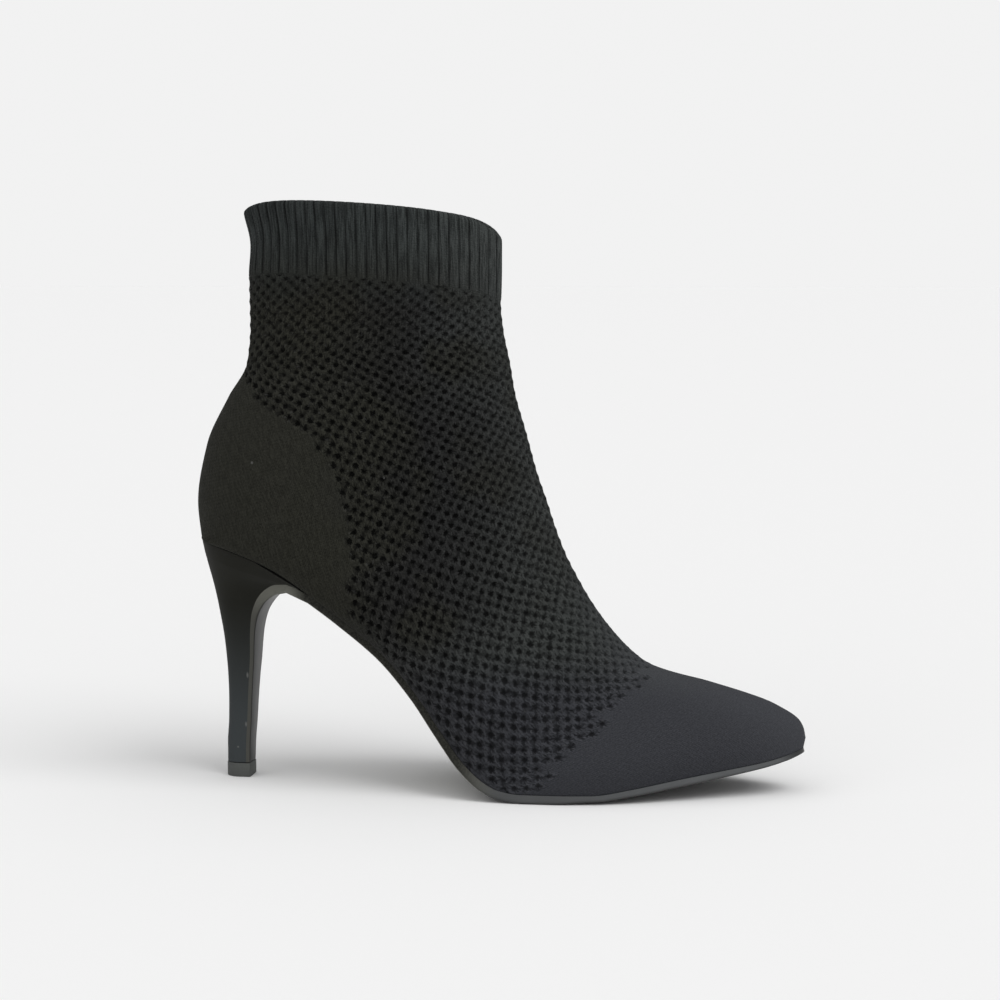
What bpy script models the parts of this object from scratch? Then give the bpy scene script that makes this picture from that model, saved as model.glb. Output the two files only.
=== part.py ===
"""Right knit ankle boot on a slim heel.

Lengths are in millimetres until a mesh is made. Along runs from the back of the heel to the
toe, rise is the height over the floor. Lateral is the outer side of the foot (minus Y),
medial the inner side (plus Y). Table columns are percent of the named size beside them.
"""
import math
from collections import namedtuple

import bmesh
import bpy
from mathutils import Vector

MM = 0.001
PERCENT = 0.01

# Driving sizes of the boot
LENGTH = 230.0
BALL_WIDTH = 76.0
HEEL_HEIGHT = 91.0
SHAFT_HEIGHT = 214.0
COLLAR_WIDTH = 37.0
KNIT_WALL = 2.0
CUFF_WALL = 2.6
CUFF_ROWS = 2
FIT_GAP = 0.3
LIFT_SOFT = 0.4
LIFT_SKEW = 0.4

# Outsole, insole and top piece
SOLE_EDGE = 3.0
SOLE_BEVEL = 0.6
SOLE_PROUD = 0.5
INSOLE_THICK = 2.0
INSOLE_INSET = 3.0
TOP_PIECE_THICK = 5.3
TOP_PIECE_PROUD = 0.2

# Rounded ends of the bottom outline
SEAT_BACK = 2.4
SEAT_ROUND = 26.0
TOE_ROUND = 7.0
TOE_END = 229.2
END_ANGLE = math.radians(8.0)

# Heel block
HEEL_ROUND = 0.6
HEEL_CORNER = 0.8
SEAT_FRONT = 44.5
FLAP_START = 46.0

# Mesh steps
RIB_STEPS = 32
HOOP_STEPS = 2
ROUND_STEPS = 5
STATION_STEP = 6.0
SLOPE_STEP = 0.5

# Last bottom: along (of LENGTH), rise over the tread (of HEEL_HEIGHT less SOLE_EDGE),
# lateral and medial half-width (of BALL_WIDTH), edge (of SOLE_EDGE)
Bed = namedtuple("Bed", "along rise lateral medial edge")
BED = (
    Bed(1.0, 100.0, 32.1, 32.1, 85),
    Bed(5.0, 98.4, 32.1, 32.1, 85),
    Bed(10.0, 94.8, 32.2, 32.2, 85),
    Bed(15.0, 89.0, 32.3, 32.0, 85),
    Bed(20.0, 80.2, 31.0, 29.7, 85),
    Bed(26.0, 68.1, 27.9, 25.3, 85),
    Bed(32.0, 55.1, 27.1, 21.8, 85),
    Bed(38.0, 38.9, 32.9, 22.9, 85),
    Bed(43.0, 22.3, 40.3, 28.4, 88),
    Bed(46.5, 11.4, 45.3, 33.7, 94),
    Bed(50.0, 4.0, 48.2, 38.9, 100),
    Bed(52.5, 1.1, 49.3, 42.3, 100),
    Bed(56.0, 0.0, 50.0, 46.3, 100),
    Bed(61.0, 0.0, 50.0, 49.2, 100),
    Bed(67.0, 0.0, 47.9, 50.0, 100),
    Bed(73.0, 2.1, 43.2, 47.1, 83),
    Bed(80.0, 5.3, 35.5, 39.3, 82),
    Bed(87.0, 8.1, 26.6, 29.3, 73),
    Bed(94.0, 10.9, 17.0, 18.3, 55),
    Bed(100.0, 14.9, 7.4, 7.9, 40),
)

# Closed hoops of the upper, collar to seat: back and front along (of LENGTH) and rise (of
# SHAFT_HEIGHT), half-width and side lift (of COLLAR_WIDTH), widest level from the back
Hoop = namedtuple("Hoop", "back back_rise front front_rise half widest lift peak")
HOOPS = (
    Hoop(8.3, 99.8, 50.6, 95.2, 50.0, 50, 18.9, 0),
    Hoop(9.45, 93.9, 50.6, 90.0, 47.5, 50, 13.4, 0),
    Hoop(9.1, 88.1, 50.5, 84.1, 44.5, 49, 9.4, 0),
    Hoop(9.2, 79.9, 50.9, 79.4, 43.5, 47, 5.4, 0),
    Hoop(8.65, 73.6, 52.0, 73.6, 48.0, 44, 2.2, 5),
    Hoop(5.5, 67.5, 52.8, 68.5, 56.5, 38, 0.0, 10),
    Hoop(1.9, 59.1, 54.5, 62.1, 67.5, 31, 0.0, 15),
    Hoop(0.4, 49.1, 56.4, 54.7, 75.5, 26, 0.0, 20),
    Hoop(1.0, 42.7, 58.0, 49.8, 77.5, 24, 0.0, 22),
)

# Open arches of the upper, seat to toe: base along and front along (of LENGTH), front rise
# (of SHAFT_HEIGHT), lateral and medial half-width (of BALL_WIDTH), widest level, peak
Arch = namedtuple("Arch", "base front front_rise lateral medial widest peak")
ARCHES = (
    Arch(6.0, 59.4, 45.2, 37.5, 37.4, 23, 24),
    Arch(11.5, 61.1, 40.5, 37.7, 37.4, 24, 26),
    Arch(18.0, 63.2, 36.1, 38.2, 37.7, 26, 28),
    Arch(25.0, 65.5, 31.9, 39.1, 38.3, 30, 30),
    Arch(33.0, 68.3, 27.8, 40.9, 39.6, 33, 32),
    Arch(41.0, 71.6, 24.0, 44.5, 42.1, 30, 36),
    Arch(48.0, 74.6, 21.6, 48.9, 46.3, 24, 40),
    Arch(54.5, 77.6, 20.4, 51.3, 50.3, 19, 42),
    Arch(61.0, 80.4, 19.6, 51.1, 51.8, 17, 42),
    Arch(68.0, 83.3, 18.9, 47.9, 50.8, 16, 42),
    Arch(75.0, 86.4, 18.0, 41.8, 45.3, 17, 40),
    Arch(82.0, 90.0, 16.9, 33.7, 36.8, 19, 36),
    Arch(89.0, 93.7, 15.6, 24.7, 26.8, 22, 32),
    Arch(94.5, 96.6, 14.1, 16.6, 17.6, 27, 26),
    Arch(97.8, 98.7, 12.6, 10.7, 11.2, 33, 20),
    Arch(99.0, 99.6, 11.1, 9.0, 9.4, 38, 16),
    Arch(99.6, 99.95, 9.3, 8.1, 8.5, 45, 12),
)

# Heel from its tip to its seat: back and breast along (of LENGTH) and rise (of HEEL_HEIGHT),
# half-width (of BALL_WIDTH), thickness of the flap in front (of SOLE_EDGE)
Level = namedtuple("Level", "back back_rise breast breast_rise half flap")
HEEL = (
    Level(4.75, 6.2, 8.4, 6.2, 6.4, 40),
    Level(4.75, 14.3, 8.5, 14.3, 6.8, 40),
    Level(5.0, 24.2, 8.75, 23.1, 7.3, 40),
    Level(5.05, 34.1, 8.95, 32.4, 7.8, 40),
    Level(4.95, 42.9, 9.2, 41.8, 8.5, 40),
    Level(4.7, 51.6, 9.5, 50.9, 9.5, 40),
    Level(4.35, 59.9, 9.65, 59.9, 10.8, 46),
    Level(3.85, 67.6, 10.0, 68.1, 12.6, 66),
    Level(3.3, 75.3, 10.95, 75.0, 15.4, 98),
    Level(2.7, 82.4, 12.7, 80.2, 19.5, 120),
    Level(2.05, 89.0, 14.9, 83.1, 24.5, 124),
    Level(1.45, 95.1, 17.1, 83.7, 28.8, 105),
)


class Course:
    """Smooth line through table values that never swings past them."""

    def __init__(self, places, values):
        self.places = places
        self.values = values
        pairs = list(zip(places, values))
        rates = [(b[1] - a[1]) / (b[0] - a[0]) for a, b in zip(pairs, pairs[1:])]
        self.slopes = [rates[0]]
        for before, after in zip(rates, rates[1:]):
            product = before * after
            self.slopes.append(2.0 * product / (before + after) if product > 0 else 0.0)
        self.slopes.append(rates[-1])

    def __call__(self, place):
        place = min(max(place, self.places[0]), self.places[-1])
        spans = len(self.places) - 1
        row = next((i for i in range(spans) if place <= self.places[i + 1]), spans - 1)
        span = self.places[row + 1] - self.places[row]
        part = (place - self.places[row]) / span
        rest = 1.0 - part
        ends = self.values[row] * (1 + 2 * part) * rest**2
        ends += self.values[row + 1] * (1 + 2 * rest) * part**2
        return ends + span * part * rest * (self.slopes[row] * rest - self.slopes[row + 1] * part)


def column(table, name, size):
    """One table column turned from percent of a size into millimetres."""
    return [getattr(row, name) * PERCENT * size for row in table]


BED_ALONG = column(BED, "along", LENGTH)
BED_OVER_TREAD = Course(BED_ALONG, column(BED, "rise", HEEL_HEIGHT - SOLE_EDGE))
BED_LATERAL = Course(BED_ALONG, column(BED, "lateral", BALL_WIDTH))
BED_MEDIAL = Course(BED_ALONG, column(BED, "medial", BALL_WIDTH))
BED_EDGE = Course(BED_ALONG, column(BED, "edge", SOLE_EDGE))


def bed_rise(along):
    """Height of the last bottom, where the upper meets sole and heel."""
    return SOLE_EDGE + BED_OVER_TREAD(along)


def bed_normal(along):
    """Upward normal of the last bottom in the side view."""
    climb = bed_rise(along + SLOPE_STEP) - bed_rise(along - SLOPE_STEP)
    return Vector((-climb, 2.0 * SLOPE_STEP)).normalized()


def round_end(reach, length):
    """Width factor of an elliptical end, 0 at the tip and 1 past its length."""
    return math.sqrt(max(0.0, 1.0 - max(0.0, 1.0 - reach / length) ** 2))


def bed_halves(along, inset=0.0):
    """Lateral and medial half-width of the bottom outline."""
    ends = round_end(along - SEAT_BACK - inset, SEAT_ROUND - inset)
    ends *= round_end(TOE_END - inset - along, TOE_ROUND)
    return (BED_LATERAL(along) - inset) * ends, (BED_MEDIAL(along) - inset) * ends


def stations(inset=0.0, first_angle=0.0):
    """Places along the bottom, close together at the rounded seat and toe."""
    turn = [first_angle + (math.pi / 2 - first_angle) * i / ROUND_STEPS for i in range(ROUND_STEPS)]
    seat = [SEAT_BACK + inset + (SEAT_ROUND - inset) * (1 - math.cos(angle)) for angle in turn]
    toe = [TOE_END - inset - TOE_ROUND * (1 - math.cos(angle)) for angle in reversed(turn)]
    start = SEAT_BACK + SEAT_ROUND
    span = TOE_END - INSOLE_INSET - TOE_ROUND - start
    count = round(span / STATION_STEP)
    return seat + [start + span * i / count for i in range(count + 1)] + toe


def on_bed(along, over):
    """Point in the side view at a height over the last bottom."""
    return Vector((along, bed_rise(along))) + bed_normal(along) * over


Section = namedtuple("Section", "back front lateral medial bases widest peak lift")
SECTION_COLUMNS = ("front", "front_rise", "lateral", "medial", "widest", "peak", "lift")


def upper_rows():
    """Hoops and arches in one run, placed by distance from the back of the seat."""
    rows = []
    for hoop in HOOPS:
        half = hoop.half * PERCENT * COLLAR_WIDTH
        lift = hoop.lift * PERCENT * COLLAR_WIDTH
        spot = (hoop.front * PERCENT * LENGTH, hoop.front_rise * PERCENT * SHAFT_HEIGHT)
        rows.append((*spot, half, half, hoop.widest * PERCENT, hoop.peak * PERCENT, lift))
    for arch in ARCHES:
        halves = (arch.lateral * PERCENT * BALL_WIDTH, arch.medial * PERCENT * BALL_WIDTH)
        spot = (arch.front * PERCENT * LENGTH, arch.front_rise * PERCENT * SHAFT_HEIGHT)
        rows.append((*spot, *halves, arch.widest * PERCENT, arch.peak * PERCENT, 0.0))
    return rows


BACK_LINE = [
    Vector(spot)
    for spot in zip(column(HOOPS, "back", LENGTH), column(HOOPS, "back_rise", SHAFT_HEIGHT))
]
HOOP_PLACES = [
    -sum((b - a).length for a, b in zip(BACK_LINE[row:], BACK_LINE[row + 1 :]))
    for row in range(len(BACK_LINE))
]
ARCH_PLACES = [base - SEAT_BACK for base in column(ARCHES, "base", LENGTH)]


def pace(place):
    """Distance eased round the seat's corner, so that sections turn smoothly there."""
    return math.copysign(math.sqrt(abs(place)), place)


UPPER_COURSES = {
    name: Course([pace(place) for place in HOOP_PLACES + ARCH_PLACES], list(values))
    for name, values in zip(SECTION_COLUMNS, zip(*upper_rows()))
}
BACK_ALONG = Course(HOOP_PLACES, [spot.x for spot in BACK_LINE])
BACK_RISE = Course(HOOP_PLACES, [spot.y for spot in BACK_LINE])


def upper_section(place, depth):
    """Section at a distance from the back of the seat, minus being up the back.

    Depth 0 is the outer face and 1 the inner face of the wall, which is thicker in the cuff.
    """
    value = {name: course(pace(place)) for name, course in UPPER_COURSES.items()}
    inset = depth * (CUFF_WALL if place < HOOP_PLACES[CUFF_ROWS] else KNIT_WALL)
    front = Vector((value["front"], value["front_rise"]))
    if place <= 0.0:
        back = Vector((BACK_ALONG(place), BACK_RISE(place)))
        back += (front - back).normalized() * inset
        bases = (0.0, 0.0)
        toe = 1.0
    else:
        along = place + SEAT_BACK
        back = on_bed(along, FIT_GAP)
        bases = bed_halves(along, inset)
        toe = round_end(TOE_END - inset - along, TOE_ROUND)
    front += (back - front).normalized() * inset
    lateral = (value["lateral"] - inset) * toe
    medial = (value["medial"] - inset) * toe
    return Section(back, front, lateral, medial, bases, value["widest"], value["peak"], value["lift"])


def section_point(section, turn):
    """Point of a section: turn -1 is the lateral base, 0 the front ridge, 1 the medial base."""
    side = -1.0 if turn < 0 else 1.0
    reach = section.lateral if turn < 0 else section.medial
    base = section.bases[0] if turn < 0 else section.bases[1]
    share = abs(turn)
    split = 0.5 + 0.75 * (0.5 - section.widest)
    if share <= split:
        angle = share / split * math.pi / 2
        across = reach * math.sin(angle)
        crown = 1 - (1 - math.cos(angle)) * (1 + section.peak * math.cos(angle))
        level = section.widest + (1 - section.widest) * crown
    else:
        angle = (share - split) / (1 - split) * math.pi / 2
        across = base + (reach - base) * math.cos(angle)
        level = section.widest * (1 - math.sin(angle))
    spot = section.back.lerp(section.front, level)
    spread = (across / reach) ** 2 if section.lift else 0.0
    lift = section.lift * spread * (1 + LIFT_SOFT) / (spread + LIFT_SOFT)
    lift *= 1 + LIFT_SKEW * (level - 0.5)
    return Vector((spot.x, side * across, spot.y + lift))


def upper_places(depth):
    """Distances of the rings: hoops with steps between rows, then the bottom stations."""
    inset = depth * KNIT_WALL
    places = []
    for first, last in zip(HOOP_PLACES, HOOP_PLACES[1:]):
        places += [first + (last - first) * i / HOOP_STEPS for i in range(HOOP_STEPS)]
    bottom = [*stations(inset, END_ANGLE), TOE_END - inset]
    return places + [0.0] + [along - SEAT_BACK for along in bottom]


def upper_skin(mesh, depth):
    """Rings of one face of the upper: hoops close on themselves, the toe ring on its mirror."""
    half_steps = RIB_STEPS // 2
    turns = [j / half_steps - 1.0 for j in range(RIB_STEPS + 1)]
    rings = []
    places = upper_places(depth)
    for place in places:
        section = upper_section(place, depth)
        points = [section_point(section, turn) * MM for turn in turns]
        if place <= 0.0:
            ring = [mesh.verts.new(point) for point in points[:-1]]
            ring.append(ring[0])
        elif place == places[-1]:
            ring = [mesh.verts.new(point) for point in points[: half_steps + 1]]
            ring += ring[-2::-1]
        else:
            ring = [mesh.verts.new(point) for point in points]
        rings.append(ring)
    return rings


def upper_mesh():
    """Hollow knitted sock, open at the collar and along the bottom."""
    mesh = bmesh.new()
    outer = upper_skin(mesh, 0.0)
    inner = upper_skin(mesh, 1.0)
    for j in range(RIB_STEPS):
        k = j + 1
        mesh.faces.new((outer[0][j], outer[0][k], inner[0][k], inner[0][j]))
        for rings in (outer, inner):
            for upper, lower in zip(rings, rings[1:]):
                mesh.faces.new((upper[j], lower[j], lower[k], upper[k]))
    first_open = upper_places(0.0).index(0.0)
    for row in range(first_open, len(outer) - 1):
        for end in (0, RIB_STEPS):
            near = (outer[row][end], outer[row + 1][end])
            far = (inner[row + 1][end], inner[row][end])
            mesh.faces.new((*near, *far))
    bmesh.ops.recalc_face_normals(mesh, faces=mesh.faces)
    return mesh


def loft_mesh(rings):
    """Closed body through mirrored rings, its ends closed by strips from side to side."""
    mesh = bmesh.new()
    loops = [[mesh.verts.new(point * MM) for point in ring] for ring in rings]
    count = len(loops[0])
    for lower, upper in zip(loops, loops[1:]):
        for j in range(count):
            k = (j + 1) % count
            mesh.faces.new((lower[j], lower[k], upper[k], upper[j]))
    for loop in (loops[0], loops[-1]):
        for j in range((count - 1) // 2):
            strip = [loop[j], loop[j + 1], loop[-2 - j], loop[-1 - j]]
            mesh.faces.new(dict.fromkeys(strip))
    bmesh.ops.recalc_face_normals(mesh, faces=mesh.faces)
    return mesh


def breast_points():
    """Line in the side view where the heel's front meets the flap of the outsole, seat to tip."""
    alongs = column(HEEL, "breast", LENGTH)
    rises = column(HEEL, "breast_rise", HEEL_HEIGHT)
    return [Vector(spot) for spot in zip(alongs, rises)][::-1]


def outsole_rings():
    """Sole sections from the toe over the waist, then down the front of the heel."""
    bed = [along for along in stations(first_angle=END_ANGLE) if along > FLAP_START][::-1]
    path = [Vector((along, bed_rise(along))) for along in bed]
    halves = [tuple(half + SOLE_PROUD for half in bed_halves(along)) for along in bed]
    edges = [BED_EDGE(along) for along in bed]
    for spot, level in zip(breast_points(), HEEL[::-1]):
        path.append(spot)
        halves.append((level.half * PERCENT * BALL_WIDTH,) * 2)
        edges.append(level.flap * PERCENT * SOLE_EDGE)
    rings = []
    for i, (spot, (lateral, medial), edge) in enumerate(zip(path, halves, edges)):
        run = path[min(i + 1, len(path) - 1)] - path[max(i - 1, 0)]
        under = Vector((-run.y, run.x)).normalized()
        bevel = min(SOLE_BEVEL, edge / 2, lateral / 2)
        outline = (
            (-lateral, 0.0),
            (-lateral, edge - bevel),
            (bevel - lateral, edge),
            (medial - bevel, edge),
            (medial, edge - bevel),
            (medial, 0.0),
        )
        points = [(spot + under * deep, across) for across, deep in outline]
        rings.append([Vector((flat.x, across, flat.y)) for flat, across in points])
    return rings


def insole_rings():
    """Board sections from the seat to the toe, just over the last bottom."""
    rings = []
    for along in stations(INSOLE_INSET, END_ANGLE):
        lateral, medial = bed_halves(along, INSOLE_INSET)
        low = on_bed(along, FIT_GAP)
        high = on_bed(along, FIT_GAP + INSOLE_THICK)
        corners = ((-lateral, high), (-lateral, low), (medial, low), (medial, high))
        rings.append([Vector((flat.x, across, flat.y)) for across, flat in corners])
    return rings


def heel_outline(half):
    """Share from back to breast and half-width round one level: flat front, rounded back."""
    angles = [math.pi / 2 * i / ROUND_STEPS for i in range(ROUND_STEPS + 1)]
    curve = [(HEEL_ROUND * (1 - math.cos(angle)), half * math.sin(angle)) for angle in angles]
    corner = HEEL_CORNER / half / 2
    curve += [(1 - corner, half), (1.0, half - HEEL_CORNER)]
    lateral = [(share, -across) for share, across in reversed(curve[1:])]
    return lateral + curve


def heel_rings():
    """Heel levels from the tip up, the last one following the curved seat."""
    breast = breast_points()[::-1]
    rings = []
    for i, level in enumerate(HEEL):
        run = breast[min(i + 1, len(breast) - 1)] - breast[max(i - 1, 0)]
        front = breast[i] + Vector((-run.y, run.x)).normalized() * FIT_GAP
        back = Vector((level.back * PERCENT * LENGTH, level.back_rise * PERCENT * HEEL_HEIGHT))
        ring = []
        for share, across in heel_outline(level.half * PERCENT * BALL_WIDTH):
            spot = back.lerp(front, share)
            ring.append(Vector((spot.x, across, spot.y)))
        rings.append(ring)
    seat = []
    for share, across in heel_outline(max(bed_halves(SEAT_BACK + SEAT_ROUND))):
        along = SEAT_BACK + (SEAT_FRONT - SEAT_BACK) * share
        seat.append(Vector((along, across, bed_rise(along))))
    return rings + [seat]


def top_piece_rings():
    """Two equal levels, covering the heel's tip and the end of the flap."""
    tip = HEEL[0]
    back = tip.back * PERCENT * LENGTH - TOP_PIECE_PROUD
    front = tip.breast * PERCENT * LENGTH + tip.flap * PERCENT * SOLE_EDGE + TOP_PIECE_PROUD
    outline = heel_outline(tip.half * PERCENT * BALL_WIDTH + TOP_PIECE_PROUD)
    return [
        [Vector((back + (front - back) * share, across, rise)) for share, across in outline]
        for rise in (0.0, TOP_PIECE_THICK)
    ]


def material(name, color, roughness):
    """Plain surface of one sub-part."""
    surface = bpy.data.materials.new(name)
    surface.use_nodes = True
    shader = surface.node_tree.nodes["Principled BSDF"]
    shader.inputs["Base Color"].default_value = (*color, 1.0)
    shader.inputs["Roughness"].default_value = roughness
    return surface


def add_part(name, mesh, surface, parent, collection):
    """Object of one sub-part, hung on the boot's own frame."""
    data = bpy.data.meshes.new(name)
    mesh.to_mesh(data)
    mesh.free()
    data.materials.append(surface)
    part = bpy.data.objects.new(name, data)
    collection.objects.link(part)
    part.parent = parent
    return part


for old in list(bpy.data.objects):
    bpy.data.objects.remove(old)

boot = bpy.data.collections.new("knit_ankle_boot")
bpy.context.scene.collection.children.link(boot)
frame = bpy.data.objects.new("boot_frame", None)
boot.objects.link(frame)

upper = add_part("upper", upper_mesh(), material("knit", (0.03, 0.03, 0.03), 0.9), frame, boot)

LOFTS = (
    ("insole", insole_rings(), material("board", (0.05, 0.05, 0.05), 0.8)),
    ("outsole", outsole_rings(), material("sole", (0.1, 0.1, 0.1), 0.45)),
    ("heel", heel_rings(), material("heel_cover", (0.03, 0.03, 0.03), 0.6)),
    ("top_piece", top_piece_rings(), material("lift", (0.06, 0.06, 0.06), 0.6)),
)
for part_name, part_rings, part_surface in LOFTS:
    add_part(part_name, loft_mesh(part_rings), part_surface, frame, boot)

# Origin under the middle of the boot's box, on the floor
corners = [vertex.co for part in boot.objects if part.data for vertex in part.data.vertices]
middles = [(min(c[axis] for c in corners) + max(c[axis] for c in corners)) / 2 for axis in range(2)]
frame.location = (-middles[0], -middles[1], 0.0)
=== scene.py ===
"""Looks of a right knit ankle boot on a slim heel, dressed over its solids.

Lengths are in millimetres until a mesh is made. Along runs from the back of the heel to the
toe, rise is the height over the floor. Lateral is the outer side of the foot (minus Y),
medial the inner side (plus Y). Table columns are percent of the named size beside them.
"""
import math
from collections import namedtuple

import bmesh
import bpy
import numpy as np
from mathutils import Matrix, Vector


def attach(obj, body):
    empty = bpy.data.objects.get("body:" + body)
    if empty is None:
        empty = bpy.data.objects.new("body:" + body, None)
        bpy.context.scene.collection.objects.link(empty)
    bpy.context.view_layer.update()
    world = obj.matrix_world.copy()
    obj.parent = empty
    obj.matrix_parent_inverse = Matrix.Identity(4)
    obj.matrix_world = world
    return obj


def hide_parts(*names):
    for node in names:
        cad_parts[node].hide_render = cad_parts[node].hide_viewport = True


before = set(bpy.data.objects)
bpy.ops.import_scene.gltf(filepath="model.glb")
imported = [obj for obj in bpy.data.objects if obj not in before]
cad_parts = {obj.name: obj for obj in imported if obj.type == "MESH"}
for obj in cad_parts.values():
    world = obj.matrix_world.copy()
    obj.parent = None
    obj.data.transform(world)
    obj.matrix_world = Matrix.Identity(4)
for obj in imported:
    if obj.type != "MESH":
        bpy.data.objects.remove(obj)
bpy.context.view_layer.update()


# Insole
# A fibre board cut to the foot's outline and bent over the last, with thin black cloth glued on.
# The edge of the upper is pulled over it, so only its cloth shows, far down in the boot.
MM = 0.001
PERCENT = 0.01
BOX_MIDDLE = np.array((115.403, 0.195, 0.0))
LENGTH = 230.0
BALL_WIDTH = 76.0
HEEL_HEIGHT = 91.0
SOLE_EDGE = 3.0
FIT_GAP = 0.3
INSOLE_THICK = 2.0
INSOLE_INSET = 3.0
INSOLE_ROUND = 0.7
INSOLE_STRIPS = 7
SEAT_BACK = 2.4
SEAT_ROUND = 26.0
TOE_ROUND = 7.0
TOE_END = 229.2
END_ANGLE = math.radians(4.0)
ROUND_STEPS = 14
STATION_STEP = 2.5
SLOPE_STEP = 0.5

# Last bottom: along (of LENGTH), rise over the tread (of HEEL_HEIGHT less SOLE_EDGE),
# lateral and medial half-width (of BALL_WIDTH), edge (of SOLE_EDGE)
Bed = namedtuple("Bed", "along rise lateral medial edge")
BED = (
    Bed(1.0, 100.0, 32.1, 32.1, 85),
    Bed(5.0, 98.4, 32.1, 32.1, 85),
    Bed(10.0, 94.8, 32.2, 32.2, 85),
    Bed(15.0, 89.0, 32.3, 32.0, 85),
    Bed(20.0, 80.2, 31.0, 29.7, 85),
    Bed(26.0, 68.1, 27.9, 25.3, 85),
    Bed(32.0, 55.1, 27.1, 21.8, 85),
    Bed(38.0, 38.9, 32.9, 22.9, 85),
    Bed(43.0, 22.3, 40.3, 28.4, 88),
    Bed(46.5, 11.4, 45.3, 33.7, 94),
    Bed(50.0, 4.0, 48.2, 38.9, 100),
    Bed(52.5, 1.1, 49.3, 42.3, 100),
    Bed(56.0, 0.0, 50.0, 46.3, 100),
    Bed(61.0, 0.0, 50.0, 49.2, 95),
    Bed(67.0, 0.0, 47.9, 50.0, 70),
    Bed(73.0, 2.1, 43.2, 47.1, 78),
    Bed(80.0, 5.3, 35.5, 39.3, 82),
    Bed(87.0, 8.1, 26.6, 29.3, 73),
    Bed(94.0, 10.9, 17.0, 18.3, 55),
    Bed(100.0, 14.9, 7.4, 7.9, 40),
)


class Course:
    """Smooth line through table values that never swings past them."""

    def __init__(self, places, values):
        self.places = np.array(places, float)
        self.values = np.array(values, float)
        rates = np.diff(self.values) / np.diff(self.places)
        before, after = rates[:-1], rates[1:]
        product = before * after
        total = np.where(product > 0, before + after, 1.0)
        inner = np.where(product > 0, 2.0 * product / total, 0.0)
        self.slopes = np.concatenate((rates[:1], inner, rates[-1:]))

    def __call__(self, place):
        place = np.clip(place, self.places[0], self.places[-1])
        row = np.clip(np.searchsorted(self.places, place) - 1, 0, len(self.places) - 2)
        span = self.places[row + 1] - self.places[row]
        part = (place - self.places[row]) / span
        rest = 1.0 - part
        ends = self.values[row] * (1 + 2 * part) * rest**2
        ends = ends + self.values[row + 1] * (1 + 2 * rest) * part**2
        return ends + span * part * rest * (self.slopes[row] * rest - self.slopes[row + 1] * part)


def column(table, name, size):
    """One table column turned from percent of a size into millimetres."""
    return [getattr(row, name) * PERCENT * size for row in table]


BED_ALONG = column(BED, "along", LENGTH)
BED_OVER_TREAD = Course(BED_ALONG, column(BED, "rise", HEEL_HEIGHT - SOLE_EDGE))
BED_LATERAL = Course(BED_ALONG, column(BED, "lateral", BALL_WIDTH))
BED_MEDIAL = Course(BED_ALONG, column(BED, "medial", BALL_WIDTH))
BED_EDGE = Course(BED_ALONG, column(BED, "edge", SOLE_EDGE))


def bed_rise(along):
    """Height of the last bottom, where the upper meets sole and heel."""
    return SOLE_EDGE + BED_OVER_TREAD(along)


def on_bed(along, over):
    """Point in the side view at a height over the last bottom."""
    climb = bed_rise(along + SLOPE_STEP) - bed_rise(along - SLOPE_STEP)
    steep = np.hypot(climb, 2.0 * SLOPE_STEP)
    return along - climb / steep * over, bed_rise(along) + 2.0 * SLOPE_STEP / steep * over


def round_end(reach, length):
    """Width factor of an elliptical end, 0 at the tip and 1 past its length."""
    return np.sqrt(np.maximum(0.0, 1.0 - np.maximum(0.0, 1.0 - reach / length) ** 2))


def bed_halves(along, inset=0.0):
    """Lateral and medial half-width of the bottom outline."""
    ends = round_end(along - SEAT_BACK - inset, SEAT_ROUND - inset)
    ends = ends * round_end(TOE_END - inset - along, TOE_ROUND)
    return (BED_LATERAL(along) - inset) * ends, (BED_MEDIAL(along) - inset) * ends


def stations(inset=0.0):
    """Places along the bottom, close together at the rounded seat and toe."""
    turn = np.linspace(END_ANGLE, math.pi / 2, ROUND_STEPS, endpoint=False)
    seat = SEAT_BACK + inset + (SEAT_ROUND - inset) * (1 - np.cos(turn))
    toe = TOE_END - inset - TOE_ROUND * (1 - np.cos(turn[::-1]))
    start, stop = SEAT_BACK + SEAT_ROUND, TOE_END - INSOLE_INSET - TOE_ROUND
    middle = np.linspace(start, stop, round((stop - start) / STATION_STEP) + 1)
    return np.concatenate((seat, middle, toe))


def in_frame(points):
    """Points in the part's frame, in metres."""
    return (np.asarray(points, float) - BOX_MIDDLE) * MM


def aside(flat, across):
    """Point of the side view, set off to one side."""
    return flat[0], across, flat[1]


def finished(name, mesh):
    """Mesh data made from a working mesh."""
    data = bpy.data.meshes.new(name)
    mesh.to_mesh(data)
    mesh.free()
    return data


def loft(name, rings):
    """Closed mesh through equal rings, its two ends closed by strips from side to side."""
    mesh = bmesh.new()
    loops = [[mesh.verts.new(point) for point in ring] for ring in in_frame(rings)]
    count = len(loops[0])
    for lower, upper in zip(loops, loops[1:]):
        for j in range(count):
            k = (j + 1) % count
            mesh.faces.new((lower[j], lower[k], upper[k], upper[j]))
    for ring in (loops[0], loops[-1]):
        for j in range((count - 1) // 2):
            strip = [ring[j], ring[j + 1], ring[-2 - j], ring[-1 - j]]
            mesh.faces.new(dict.fromkeys(strip))
    bmesh.ops.recalc_face_normals(mesh, faces=mesh.faces)
    return finished(name, mesh)


class Nodes:
    """One node tree, to which nodes are added with their settings and links."""

    def __init__(self, tree):
        self.tree = tree

    def add(self, kind, settings=None, sockets=None, out=0):
        """A node's chosen output; sockets are named or numbered."""
        node = self.tree.nodes.new(kind)
        for name, value in (settings or {}).items():
            setattr(node, name, value)
        for name, value in (sockets or {}).items():
            self.feed(node.inputs[name], value)
        return Value(self, node.outputs[out])

    def feed(self, socket, value):
        if isinstance(value, Value):
            self.tree.links.new(value.socket, socket)
        else:
            socket.default_value = value


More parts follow.
